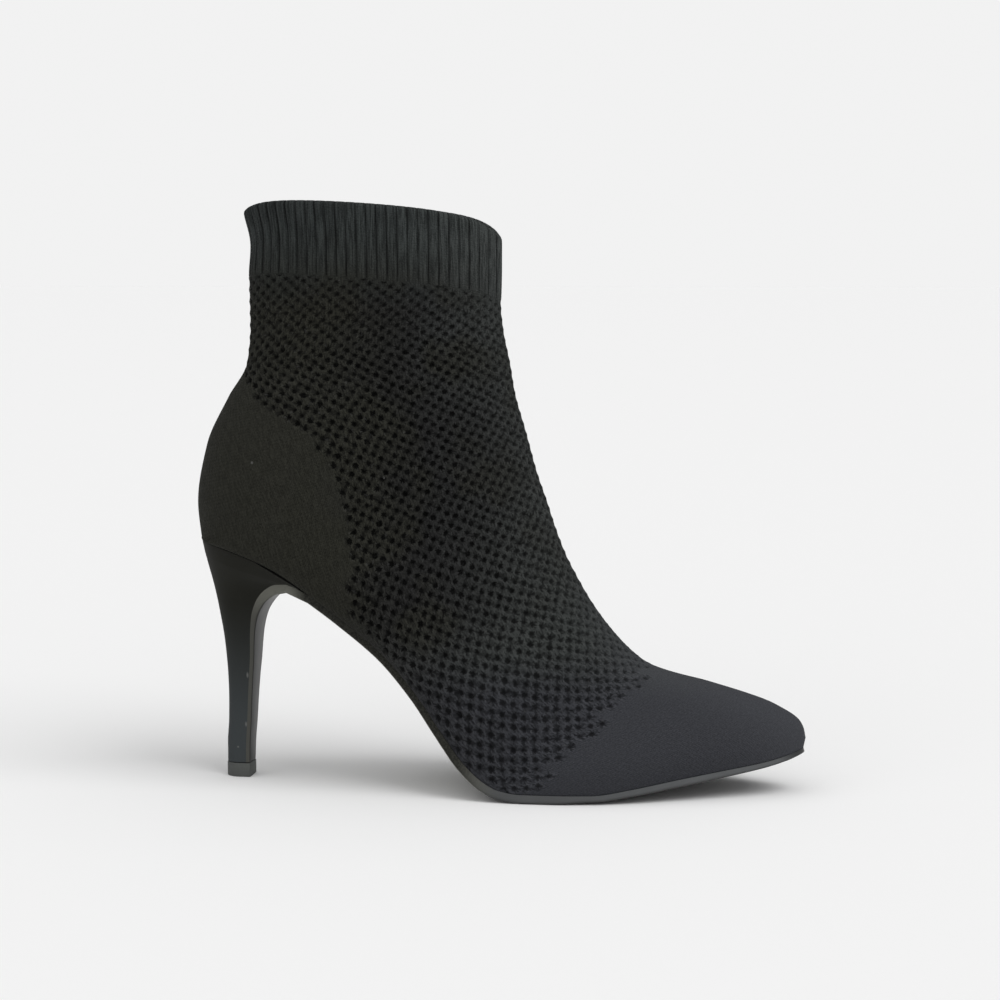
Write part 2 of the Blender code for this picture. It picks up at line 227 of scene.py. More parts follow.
class Value:
    """An output socket; sums and products of values add Math nodes."""

    def __init__(self, nodes, socket):
        self.nodes = nodes
        self.socket = socket

    def math(self, operation, *others, first=None):
        """A Math node on this value, or on first and this value."""
        terms = (self, *others) if first is None else (first, self)
        return self.nodes.add("ShaderNodeMath", {"operation": operation}, dict(enumerate(terms)))

    def other(self, name):
        """Another output of the same node."""
        return Value(self.nodes, self.socket.node.outputs[name])

    def __add__(self, term):
        return self.math("ADD", term)

    __radd__ = __add__

    def __sub__(self, term):
        return self.math("SUBTRACT", term)

    def __rsub__(self, term):
        return self.math("SUBTRACT", first=term)

    def __mul__(self, term):
        return self.math("MULTIPLY", term)

    def __truediv__(self, term):
        return self.math("DIVIDE", term)

    def __pow__(self, term):
        return self.math("POWER", term)

    def __abs__(self):
        return self.math("ABSOLUTE")

    def wave(self):
        """Sine of this value in whole turns, from 0 to 1."""
        return (self * math.tau).math("SINE") * 0.5 + 0.5

    def step(self, low, high):
        """0 below low, 1 above high, smooth between; low may be the larger."""
        ends = {"From Min": low, "From Max": high, "Value": self}
        return self.nodes.add("ShaderNodeMapRange", {"interpolation_type": "SMOOTHSTEP"}, ends)


class Finish(Nodes):
    """A material with one Principled shader."""

    def __init__(self, name, **constants):
        self.material = bpy.data.materials.new(name)
        self.material.use_nodes = True
        super().__init__(self.material.node_tree)
        self.shader = self.tree.nodes["Principled BSDF"]
        self.set(**constants)

    def set(self, **values):
        """Feeds shader sockets, named in small letters with underscores for spaces."""
        sockets = {socket.name.lower().replace(" ", "_"): socket for socket in self.shader.inputs}
        for name, value in values.items():
            self.feed(sockets[name], value)

    def place(self):
        """Object coordinates, in metres."""
        return self.add("ShaderNodeTexCoord", out="Object")

    def spot(self):
        """Object coordinates taken apart, X first."""
        return self.add("ShaderNodeSeparateXYZ", None, {0: self.place()})

    def stored(self, name):
        """A value kept on the mesh."""
        return self.add("ShaderNodeAttribute", {"attribute_name": name}, out="Fac")

    def noise(self, scale, detail=2.0, roughness=0.5, vector=None):
        """Noise from 0 to 1 in the piece's own space."""
        sockets = {"Scale": scale, "Detail": detail, "Roughness": roughness}
        sockets["Vector"] = self.place() if vector is None else vector
        return self.add("ShaderNodeTexNoise", None, sockets)

    def mix(self, share, first, second):
        """Colour between two colours."""
        settings = {"data_type": "RGBA", "clamp_factor": True}
        return self.add("ShaderNodeMix", settings, {0: share, 6: first, 7: second}, out=2)

    def cover(self, share, kind, **sockets):
        """Lays a second shader over the first by a share."""
        end = self.tree.nodes["Material Output"].inputs["Surface"]
        first = Value(self, end.links[0].from_socket)
        second = self.add(kind, None, {name.title(): value for name, value in sockets.items()})
        self.feed(end, self.add("ShaderNodeMixShader", None, {0: share, 1: first, 2: second}))

    def bump(self, height, strength, distance):
        """Normal raised by a height."""
        sockets = {"Height": height, "Strength": strength, "Distance": distance}
        return self.add("ShaderNodeBump", None, sockets)


def shade(red, green, blue):
    """Linear colour with full alpha."""
    return (red, green, blue, 1.0)


def placed(name, data):
    """Object in the scene."""
    made = bpy.data.objects.new(name, data)
    bpy.context.scene.collection.objects.link(made)
    return made


def show(name, data, finish, node, sharp=None):
    """Object of one piece, standing for a solid and riding with the boot."""
    data.materials.clear()
    data.materials.append(finish.material)
    data.shade_smooth()
    if sharp is not None:
        data.set_sharp_from_angle(angle=math.radians(sharp))
    piece = placed(name, data)
    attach(piece, "root")
    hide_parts(node)


def insole_rings():
    """Board sections from the seat to the toe, with rounded upper edges."""
    rings = []
    for along in stations(INSOLE_INSET):
        lateral, medial = bed_halves(along, INSOLE_INSET)
        soft = min(INSOLE_ROUND, lateral / 2)
        low, top = FIT_GAP, FIT_GAP + INSOLE_THICK
        inner = [(soft - lateral, top), (-lateral, top - soft), (-lateral, low)]
        outer = [(medial, low), (medial, top - soft), (medial - soft, top)]
        across = np.linspace(medial - soft, soft - lateral, INSOLE_STRIPS)[1:-1]
        outline = inner + outer + [(y, top) for y in across]
        rings.append([aside(on_bed(along, over), y) for y, over in outline])
    return rings


CLOTH_THREADS = 1400.0
board = Finish("insole_cloth", roughness=0.9, sheen_weight=0.15)
spot = board.spot()
weave = (spot * CLOTH_THREADS).wave() * (spot.other("Y") * CLOTH_THREADS).wave()
worn = board.noise(60.0, 4.0)
board.set(
    base_color=board.mix(worn, shade(0.012, 0.012, 0.012), shade(0.022, 0.022, 0.021)),
    normal=board.bump(weave, 0.4, 0.0003),
)
show("insole_board", loft("insole_board", insole_rings()), board, "insole", 50)


# Upper
# One sock knitted in the round from black polyester yarn: a ribbed cuff, an open-worked shaft
# and vamp, and close plain knit in the heel pocket, along the sole and in the toe. It is
# steamed over the last and its edge is glued under the insole board.
SHAFT_HEIGHT = 214.0
COLLAR_WIDTH = 37.0
KNIT_WALL = 2.0
CUFF_WALL = 2.6
CUFF_ROWS = 2
LIFT_SOFT = 0.4
LIFT_SKEW = 0.4
SPLIT_FOLLOW = 0.75

# Closed hoops of the upper, collar to seat: back and front along (of LENGTH) and rise (of
# SHAFT_HEIGHT), half-width (of COLLAR_WIDTH), widest level from the back, side lift (of
# COLLAR_WIDTH), peak of the front ridge
Hoop = namedtuple("Hoop", "back back_rise front front_rise half widest lift peak")
HOOPS = (
    Hoop(8.3, 99.8, 50.6, 95.2, 50.0, 50, 18.9, 0),
    Hoop(9.45, 93.9, 50.6, 90.0, 47.5, 50, 13.4, 0),
    Hoop(9.1, 88.1, 50.5, 84.1, 44.5, 49, 9.4, 0),
    Hoop(9.2, 79.9, 50.9, 79.4, 43.5, 47, 5.4, 0),
    Hoop(8.65, 73.6, 52.0, 73.6, 48.0, 44, 2.2, 5),
    Hoop(5.5, 67.5, 52.8, 68.5, 56.5, 38, 0.0, 10),
    Hoop(1.9, 59.1, 54.5, 62.1, 67.5, 31, 0.0, 15),
    Hoop(0.4, 49.1, 56.4, 54.7, 75.5, 26, 0.0, 20),
    Hoop(1.0, 42.7, 58.0, 49.8, 77.5, 24, 0.0, 22),
)

# Open arches of the upper, seat to toe: base along and front along (of LENGTH), front rise
# (of SHAFT_HEIGHT), lateral and medial half-width (of BALL_WIDTH), widest level, peak
Arch = namedtuple("Arch", "base front front_rise lateral medial widest peak")
ARCHES = (
    Arch(6.0, 59.4, 45.2, 37.5, 37.4, 23, 24),
    Arch(11.5, 61.1, 40.5, 37.7, 37.4, 24, 26),
    Arch(18.0, 63.2, 36.1, 38.2, 37.7, 26, 28),
    Arch(25.0, 65.5, 31.9, 39.1, 38.3, 30, 30),
    Arch(33.0, 68.3, 27.8, 40.9, 39.6, 33, 32),
    Arch(41.0, 71.6, 24.0, 44.5, 42.1, 30, 36),
    Arch(48.0, 74.6, 21.6, 48.9, 46.3, 24, 40),
    Arch(54.5, 77.6, 20.4, 51.3, 50.3, 19, 42),
    Arch(61.0, 80.4, 19.6, 51.1, 51.8, 17, 42),
    Arch(68.0, 83.3, 18.9, 47.9, 50.8, 16, 42),
    Arch(75.0, 86.4, 18.0, 41.8, 45.3, 17, 40),
    Arch(82.0, 90.0, 16.9, 33.7, 36.8, 19, 36),
    Arch(89.0, 93.7, 15.6, 24.7, 26.8, 22, 32),
    Arch(94.5, 96.6, 14.1, 16.6, 17.6, 27, 26),
    Arch(97.8, 98.7, 12.6, 10.7, 11.2, 33, 20),
    Arch(99.0, 99.6, 11.1, 9.0, 9.4, 38, 16),
    Arch(99.6, 99.95, 9.3, 8.1, 8.5, 45, 12),
)
BACK_X = np.array(column(HOOPS, "back", LENGTH))
BACK_Z = np.array(column(HOOPS, "back_rise", SHAFT_HEIGHT))
BACK_STEPS = np.hypot(np.diff(BACK_X), np.diff(BACK_Z))
HOOP_PLACES = np.append(-np.cumsum(BACK_STEPS[::-1])[::-1], 0.0)
RIM_PLACE = HOOP_PLACES[0]
ARCH_PLACES = np.array(column(ARCHES, "base", LENGTH)) - SEAT_BACK
BACK_ALONG = Course(HOOP_PLACES, BACK_X)
BACK_RISE = Course(HOOP_PLACES, BACK_Z)


def pace(place):
    """Distance eased round the seat's corner, so that sections turn smoothly there."""
    return np.copysign(np.sqrt(np.abs(place)), place)


HALVES = column(HOOPS, "half", COLLAR_WIDTH)
SECTION_VALUES = {
    "front": column(HOOPS + ARCHES, "front", LENGTH),
    "front_rise": column(HOOPS + ARCHES, "front_rise", SHAFT_HEIGHT),
    "lateral": HALVES + column(ARCHES, "lateral", BALL_WIDTH),
    "medial": HALVES + column(ARCHES, "medial", BALL_WIDTH),
    "widest": column(HOOPS + ARCHES, "widest", 1.0),
    "peak": column(HOOPS + ARCHES, "peak", 1.0),
    "lift": column(HOOPS, "lift", COLLAR_WIDTH) + [0.0] * len(ARCHES),
}
SECTION_PLACES = pace(np.concatenate((HOOP_PLACES, ARCH_PLACES)))
SECTIONS = {name: Course(SECTION_PLACES, values) for name, values in SECTION_VALUES.items()}


def upper_points(places, turns, depth=0.0):
    """Points of the upper's wall for every place and turn.

    A place is a distance from the back of the seat, minus being up the back. Turn -1 is the
    lateral base, 0 the front ridge, 1 the medial base. Depth 0 is the outer face, 1 the inner.
    """
    place = np.atleast_1d(np.asarray(places, float))[:, None]
    turn = np.atleast_1d(np.asarray(turns, float))[None, :]
    value = {name: course(pace(place)) for name, course in SECTIONS.items()}
    hoop = place <= 0.0
    inset = depth * np.where(place < HOOP_PLACES[CUFF_ROWS], CUFF_WALL, KNIT_WALL)
    along = np.maximum(place, 0.0) + SEAT_BACK
    bed = on_bed(along, FIT_GAP)
    back_x = np.where(hoop, BACK_ALONG(place), bed[0])
    back_z = np.where(hoop, BACK_RISE(place), bed[1])
    run_x, run_z = value["front"] - back_x, value["front_rise"] - back_z
    run = np.hypot(run_x, run_z)
    start = np.where(hoop, inset / run, 0.0)
    stop = 1.0 - inset / run
    toe = np.where(hoop, 1.0, round_end(TOE_END - inset - along, TOE_ROUND))
    bases = [np.where(hoop, 0.0, half) for half in bed_halves(along, inset)]
    base = np.where(turn < 0, bases[0], bases[1])
    reach = (np.where(turn < 0, value["lateral"], value["medial"]) - inset) * toe
    widest, peak = value["widest"], value["peak"]
    split = 0.5 + SPLIT_FOLLOW * (0.5 - widest)
    share = np.abs(turn)
    over = np.minimum(share / split, 1.0) * math.pi / 2
    under = np.clip((share - split) / (1 - split), 0.0, 1.0) * math.pi / 2
    crown = 1 - (1 - np.cos(over)) * (1 + peak * np.cos(over))
    high = share <= split
    across = np.where(high, reach * np.sin(over), base + (reach - base) * np.cos(under))
    level = np.where(high, widest + (1 - widest) * crown, widest * (1 - np.sin(under)))
    part = start + (stop - start) * level
    spread = (across / np.maximum(reach, FIT_GAP)) ** 2
    lift = value["lift"] * spread * (1 + LIFT_SOFT) / (spread + LIFT_SOFT)
    lift = lift * (1 + LIFT_SKEW * (level - 0.5))
    side = np.where(turn < 0, -1.0, 1.0)
    return np.stack((back_x + run_x * part, side * across, back_z + run_z * part + lift), axis=-1)


# Courses of the knit, from the front ridge of the boot: distance down the ridge from the rim,
# lean of the course in the side view (degrees), height and width of one open-work repeat
Knit = namedtuple("Knit", "down lean repeat width")
KNIT = (
    Knit(0, 7, 3.9, 5.3),
    Knit(24, 9, 3.9, 5.3),
    Knit(48, 11.5, 3.95, 5.1),
    Knit(72, 17, 4.05, 4.95),
    Knit(95, 22, 4.15, 5.0),
    Knit(113, 27, 4.3, 5.1),
    Knit(137, 34, 4.5, 5.25),
    Knit(150, 39, 4.65, 5.35),
    Knit(162, 43, 4.75, 5.45),
    Knit(178, 45, 4.8, 5.5),
    Knit(205, 50, 4.9, 5.6),
    Knit(235, 58, 4.9, 5.6),
)
DOWN, *KNIT_VALUES = zip(*KNIT)
LEAN, REPEAT, WIDTH = (Course(DOWN, values) for values in KNIT_VALUES)
REPEATS_ROUND = 42
QUARTERS = 4
NET_COLUMNS = REPEATS_ROUND * QUARTERS // 2
POCKET_COLUMNS = 44
HALF_COLUMNS = NET_COLUMNS + POCKET_COLUMNS
RIDGE_OVER = 60.0
FIELD_STEP = 0.8
SKIN_TURNS = 241
SHAFT_RINGS = 200
BEND_RINGS = 40
TIP_RINGS = 12
CUFF_LINE = 0.92
POCKET_LEAST = 0.06
MERGE = 0.03
SLIVER = 0.02

turns = np.linspace(-1.0, 1.0, SKIN_TURNS)
ridge_turn = len(turns) // 2
bend = np.linspace(0.0, math.pi / 2, BEND_RINGS, endpoint=False)
seat_places = SEAT_ROUND * (1 - np.cos(bend))
toe_places = TOE_END - SEAT_BACK - TOE_ROUND * (1 - np.cos(bend[::-1]))
shaft_places = np.linspace(RIM_PLACE, 0.0, SHAFT_RINGS, endpoint=False)
foot_places = np.arange(SEAT_ROUND, TOE_END - SEAT_BACK - TOE_ROUND, FIELD_STEP)
places = np.concatenate((shaft_places, seat_places, foot_places, toe_places))
skin = upper_points(places, turns)
ridge = skin[:, ridge_turn][:, (0, 2)]
steps = np.hypot(*np.diff(ridge, axis=0).T)
ridge_down = np.concatenate(([-RIDGE_OVER], [0.0], np.cumsum(steps), [steps.sum() + RIDGE_OVER]))
tip_run = ridge[-1] - ridge[-TIP_RINGS]
tip_run /= np.hypot(*tip_run)
ridge = np.vstack((ridge[0] + (0.0, RIDGE_OVER), ridge, ridge[-1] + tip_run * RIDGE_OVER))

# Course number of every skin point: the leaning line from the ridge that passes through it
line_down = np.arange(ridge_down[0], ridge_down[-1], FIELD_STEP)
line_x = np.interp(line_down, ridge_down, ridge[:, 0])
line_z = np.interp(line_down, ridge_down, ridge[:, 1])
lean = np.radians(LEAN(line_down))
line_number = np.cumsum(FIELD_STEP / REPEAT(line_down))
number = np.empty(skin.shape[:2])
for row, points in enumerate(skin):
    below = (points[:, :1] - line_x) * np.sin(lean) - (points[:, 2:] - line_z) * np.cos(lean)
    last = np.clip((below > 0).sum(axis=1), 1, len(line_down) - 1)
    near = below[np.arange(len(turns)), last - 1]
    far = below[np.arange(len(turns)), last]
    part = near / (near - far)
    number[row] = line_number[last - 1] + part * (line_number[last] - line_number[last - 1])
number = np.maximum.accumulate(number, axis=0)

# Grid of the knit: four columns and four rows to a repeat
cuff_place = HOOP_PLACES[1] + CUFF_LINE * (HOOP_PLACES[2] - HOOP_PLACES[1])
first_row = math.floor(number[np.searchsorted(places, cuff_place) - 2].min() * QUARTERS / 2) * 2
last_row = math.ceil(number[-1].max() * QUARTERS / 2) * 2
row_numbers = np.arange(first_row, last_row + 1) / QUARTERS
row_down = np.interp(row_numbers, line_number, line_down)
lines = np.stack([
    np.stack([np.interp(row_numbers, number[:, m], skin[:, m, axis]) for axis in range(3)], axis=-1)
    for m in range(len(turns))
], axis=1)
line_places = np.stack(
    [np.interp(row_numbers, number[:, m], places) for m in range(len(turns))], axis=1
)
columns = 2 * HALF_COLUMNS + 1
grid = np.empty((len(row_numbers), columns, 3))
grid_place, grid_turn, grid_left, grid_wale = (np.empty(grid.shape[:2]) for _ in range(4))
net = np.arange(NET_COLUMNS + 1) / QUARTERS
pocket = np.arange(1, POCKET_COLUMNS + 1)
for side in (-1, 1):
    half = slice(ridge_turn, None, side)
    target = HALF_COLUMNS + side * np.arange(HALF_COLUMNS + 1)
    for row in range(len(row_numbers)):
        points = lines[row][half]
        reach = np.append(0.0, np.cumsum(np.linalg.norm(np.diff(points, axis=0), axis=1)))
        width = WIDTH(row_down[row])
        round_back = line_places[row][half][-1] <= 0.0
        if round_back:
            width = min(width, reach[-1] / REPEATS_ROUND * 2)
        at = np.minimum(net * width, reach[-1])
        rest = reach[-1] - at[-1]
        step = max(rest / POCKET_COLUMNS, POCKET_LEAST)
        at = np.append(at, at[-1] + np.minimum(pocket * step, rest))
        for axis in range(3):
            grid[row, target, axis] = np.interp(at, reach, points[:, axis])
        grid_place[row, target] = np.interp(at, reach, line_places[row][half])
        grid_turn[row, target] = np.interp(at, reach, turns[half])
        grid_left[row, target] = LENGTH if round_back else reach[-1] - at
        grid_wale[row, target] = side * at / width

# The lowest course that goes all the way round ends at the back of the seat
seat_row = np.nonzero(grid_left[:, 0] == LENGTH)[0].max()
grid[seat_row, (0, -1)] = upper_points([0.0], [1.0])[0, 0]

# Upper end of every column, where the ribs of the cuff begin
wales = zip(grid_place.T, grid_turn.T)
cuff_turns = np.array([np.interp(cuff_place, *wale) for wale in wales])
cuff_turns[: POCKET_COLUMNS + 1] = -1.0
cuff_turns[-POCKET_COLUMNS - 1 :] = 1.0
cuff_edge = upper_points([cuff_place], cuff_turns)[0]
in_cuff = grid_place < cuff_place
grid[in_cuff] = np.broadcast_to(cuff_edge, grid.shape)[in_cuff]

# Plain knit: heel pocket's edge (along at each rise), band over the sole (height at each
# along), and the toe line, which steps up and down from column to column
POCKET_TOP = 157
POCKET_EDGE = Course(
    (60, 85, 100, 112, 125, 133, 141, 149, POCKET_TOP),
    (64.5, 64.3, 62.8, 59.7, 54.0, 44.5, 31.0, 21.5, 5.0),
)
BAND = Course((60, 72, 85, 95, 105, 140), (5.2, 5.4, 2.4, 0.5, -0.2, 0.2))
TOE_LINE = 173.5
CUFF_PLAIN = -1.6
TOE_RAGGED = 0.22
TOE_SOFT = 3.0
OPEN_LEAST = 1.0
OPEN_CLEAR = 1.4
toe_number = np.interp(np.interp(TOE_LINE, ridge[:, 0], ridge_down), line_down, line_number)

# Openings grow from the cuff to the ankle and shrink again to the toe: down the ridge, size.
# They are drawn tight at the front ridge and at the back: turn, size
OPENING = Course((20, 32, 60, 120, 165, 190), (0.7, 0.9, 1.0, 1.0, 0.85, 0.75))
TIGHT = Course((0.0, 0.1, 0.35, 0.8, 1.0), (0.55, 0.65, 1.0, 1.0, 0.7))


def is_open(row, left):
    """Whether the patch that starts at a row and column holds an opening in the knit."""
    if (row // 2 + left // 2) % 2:
        return False
    centre = grid[row + 1, left + 1]
    if np.linalg.norm(grid[row + 1, left + 2] - grid[row + 1, left]) < OPEN_LEAST:
        return False
    if grid_place[row : row + 3, left : left + 3].min() < cuff_place + CUFF_PLAIN:
        return False
    ragged = TOE_RAGGED * (left // 2 * 7 % 5 - 2)
    if row_numbers[row + 1] > toe_number + ragged:
        return False
    if centre[2] < POCKET_TOP and centre[0] < POCKET_EDGE(centre[2]):
        return False
    return grid_left[row + 1, left + 1] > BAND(centre[0]) + OPEN_CLEAR


# Points of one patch, rows and columns: the ring round an opening, or four plain quads
RING = ((0, 0), (1, 0), (2, 0), (2, 1), (2, 2), (1, 2), (0, 2), (0, 1))
QUADS = [((r, c), (r + 1, c), (r + 1, c + 1), (r, c + 1)) for c in (0, 1) for r in (0, 1)]

# Middle of each side of the ring, and the step to the patch beyond it: rows, columns
BESIDE = ((0, 1, -2, 0), (2, 1, 2, 0), (1, 0, 0, -2), (1, 2, 0, 2))
patch_rows = range(0, len(row_numbers) - 2, 2)
patch_columns = range(0, columns - 1, 2)
opened = {(row, left) for row in patch_rows for left in patch_columns if is_open(row, left)}
ROUNDING = 0.3
FULL_MOST = 0.8
bulged = grid.copy()
knots = np.zeros(grid.shape[:2])
full = np.ones(grid.shape[:2])
netted = np.zeros(grid.shape[:2])
for row, left in opened:
    netted[row : row + 3, left : left + 3] = 1.0
    # The rims of openings are kept less full, and the finish paints shade there; less so near the
    # toe line
    closing = 1.0 - (toe_number - row_numbers[row]) / TOE_SOFT
    for down, across in RING:
        full[row + down, left + across] = min(max(closing, 0.0), FULL_MOST)
    for down, across, row_step, column_step in BESIDE:
        beside = (row + row_step, (left + column_step) % (columns - 1))
        if beside not in opened and beside[0] >= 0:
            knot = (beside[0] + 1, beside[1] + 1)
            middle = (row + down, left + across)
            bulged[middle] += (grid[knot] - grid[middle]) * ROUNDING
            knots[knot] = 1.0
back_seam = np.linalg.norm(grid - grid[:, :1], axis=2) < MERGE
bulged[back_seam] = np.broadcast_to(grid[:, :1], grid.shape)[back_seam]

mesh = bmesh.new()
mesh.loops.layers.uv.new("knit")
open_layer = mesh.faces.layers.bool.new("open")
size_layer = mesh.faces.layers.float.new("hole_size")
knot_layer, full_layer, net_layer, rib_layer, fade_layer, groove_layer, cuff_layer = (
    mesh.verts.layers.float.new(name)
    for name in ("knot", "full", "net", "rib", "ribbed", "groove", "cuff")
)

# The cuff's tone runs on into the net: share lost by its foot, distance down to nothing
CUFF_BLEND = 0.5
CUFF_SPREAD = 14.0
CUFF_EASE = 3
cuffs = (1.0 - CUFF_BLEND) * np.clip(1.0 - (grid_place - cuff_place) / CUFF_SPREAD, 0.0, 1.0)


def vertex(point, fullness=1.0, openness=0.0, cuff=0.0):
    made = mesh.verts.new(in_frame(point))
    made[full_layer] = fullness
    made[net_layer] = openness
    made[cuff_layer] = cuff
    return made


def face(mesh, corners, marks):
    """Face from vertices, with each corner's knit coordinates."""
    made = mesh.faces.new(corners)
    layer = mesh.loops.layers.uv["knit"]
    for loop, mark in zip(made.loops, marks):
        loop[layer].uv = mark
    return made


def weld(mesh):
    """Joins points that meet, closes the slits this leaves and takes loose points away."""
    bmesh.ops.remove_doubles(mesh, verts=mesh.verts, dist=MERGE * MM)
    bmesh.ops.dissolve_degenerate(mesh, edges=mesh.edges, dist=SLIVER * MM)
    bmesh.ops.holes_fill(mesh, edges=mesh.edges, sides=3)
    loose = [point for point in mesh.verts if not point.link_faces]
    bmesh.ops.delete(mesh, geom=loose, context="VERTS")


grid_verts = [[vertex(*spot) for spot in zip(*row)] for row in zip(bulged, full, netted, cuffs)]
for spot in zip(*np.nonzero(knots)):
    grid_verts[spot[0]][spot[1]][knot_layer] = 1.0
for row in patch_rows:
    for left in patch_columns:
        shapes = (RING,) if (row, left) in opened else QUADS
        for shape in shapes:
            spots = [(row + down, left + across) for down, across in shape]
            if all(in_cuff[spot] for spot in spots):
                continue
            marks = [(grid_wale[spot], -row_numbers[spot[0]]) for spot in spots]
            made = face(mesh, [grid_verts[r][c] for r, c in spots], marks)
            made[open_layer] = shape is RING
            tight = TIGHT(abs(grid_turn[row + 1, left + 1]))
            made[size_layer] = float(OPENING(row_down[row]) * tight)

# Cuff: ribs of three columns, from the first open row up, over the rim and down inside
RIB_COLUMNS = 6
CUFF_RINGS = 16
RIM_RISE = 0.7
RIM_ROUND = 0.9
RIM_SMOOTH = 2.5
RIM_LEAST = 0.15
RIB_FADE = 1.6
RIB_FOOT = 0.4
RIB_BASE = 0.3
RIB_SHARP = 6.0
RIB_EASE = 4
RIB_ENDS = (0.2, 0.8)
RIB_SEED = 7
CLOSE_TURNS = 801
net_turns = cuff_turns[POCKET_COLUMNS : columns - POCKET_COLUMNS]
rib_turns = np.empty(2 * len(net_turns) - 1)
rib_turns[::2] = net_turns
rib_turns[1::2] = (net_turns[1:] + net_turns[:-1]) / 2
rib_turns = rib_turns[:-1]
cuff_places = np.linspace(RIM_PLACE + RIM_ROUND, cuff_place, CUFF_RINGS + 1)
cuff_places[-2] = cuff_place - RIB_FOOT


def upright_turns(place):
    """Turns of a ring's points that stand upright over the foot of their rib."""
    foot = upper_points([cuff_place], rib_turns)[0][:, 0]
    found = np.empty(len(rib_turns))
    sides = ((rib_turns < 0, turns[: ridge_turn + 1]), (rib_turns >= 0, turns[ridge_turn:]))
    for mine, half in sides:
        close = np.linspace(half[0], half[-1], CLOSE_TURNS)
        here = upper_points([place], close)[0][:, 0]
        back, front = foot.min(), foot.max()
        share = (foot[mine] - back) / (front - back)
        shift = (here.min() - back) * (1 - share) ** RIB_EASE
        shift += (here.max() - front) * share**RIB_EASE
        order = np.argsort(here)
        found[mine] = np.interp(foot[mine] + shift, here[order], close[order])
    return found


ring_turns = [upright_turns(place) for place in cuff_places]
outer = np.stack([upper_points([p], t)[0] for p, t in zip(cuff_places, ring_turns)])
inner = np.stack([upper_points([p], t, 1.0)[0] for p, t in zip(cuff_places, ring_turns)])
top = upright_turns(RIM_PLACE)
top_out, top_in = (upper_points(HOOP_PLACES[:1], top, depth)[0] for depth in (0.0, 1.0))

# Rounded rim, from the inner to the outer face: share of the wall, share of the rise
RIM = ((0.92, -0.2), (0.74, 0.6), (0.5, 1.0), (0.26, 0.6), (0.08, -0.2))
rims = [top_in * part + top_out * (1 - part) + (0.0, 0.0, RIM_RISE * rise) for part, rise in RIM]
sheets = [*inner[::-1], *rims, *outer[:-1]]
sheet_places = [*cuff_places[::-1], *([RIM_PLACE] * len(RIM)), *cuff_places[:-1]]
ribs = len(rib_turns)
draw = np.random.default_rng(RIB_SEED)
rib_ends = cuff_place - RIB_FADE * draw.uniform(*RIB_ENDS, ribs // RIB_COLUMNS + 1)
cuff_verts = []
for points, place in zip(sheets, sheet_places):
    ring = []
    for i, point in enumerate(points):
        made = vertex(point)
        made[rib_layer] = abs((i % RIB_COLUMNS) / RIB_COLUMNS * 2 - 1)
        end = rib_ends[i // RIB_COLUMNS]
        ribbed = float(np.clip((end - place) / RIB_FADE + 1.0, 0.0, 1.0))
        rim_fade = min(1.0, RIM_LEAST + (place - RIM_PLACE) / RIM_SMOOTH)
        made[fade_layer] = ribbed * rim_fade
        made[groove_layer] = ribbed
        lower = (place - RIM_PLACE) / (cuff_place - RIM_PLACE)
        made[cuff_layer] = 1.0 - CUFF_BLEND * lower**CUFF_EASE
        ring.append(made)
    cuff_verts.append(ring)
sheet_steps = [np.linalg.norm(lower[0] - upper[0]) for upper, lower in zip(sheets, sheets[1:])]
rise_marks = np.append(0.0, np.cumsum(sheet_steps))
rise_marks = (rise_marks - rise_marks[-1]) / REPEAT(0.0)
for r, (upper, lower) in enumerate(zip(cuff_verts, cuff_verts[1:])):
    for i in range(ribs):
        k = (i + 1) % ribs
        spots = ((r, i), (r + 1, i), (r + 1, i + 1), (r, i + 1))
        marks = [(c / 2 / QUARTERS, -rise_marks[s]) for s, c in spots]
        face(mesh, (upper[i], lower[i], lower[k], upper[k]), marks)
edge_points = upper_points([cuff_place], net_turns[:-1])[0]
edge_verts = [vertex(point, cuff=1.0 - CUFF_BLEND) for point in edge_points]
lowest = cuff_verts[-1]
for c in range(len(edge_verts)):
    i, k = 2 * c, (2 * c + 2) % ribs
    spots = ((i, 0), (i, 0.5), (i + 2, 0.5), (i + 2, 0), (i + 1, 0))
    marks = [(column / 2 / QUARTERS, rise) for column, rise in spots]
    near, far = edge_verts[c], edge_verts[(c + 1) % len(edge_verts)]
    face(mesh, (lowest[i], near, far, lowest[k], lowest[i + 1]), marks)
weld(mesh)
knit_base = finished("upper_knit", mesh)


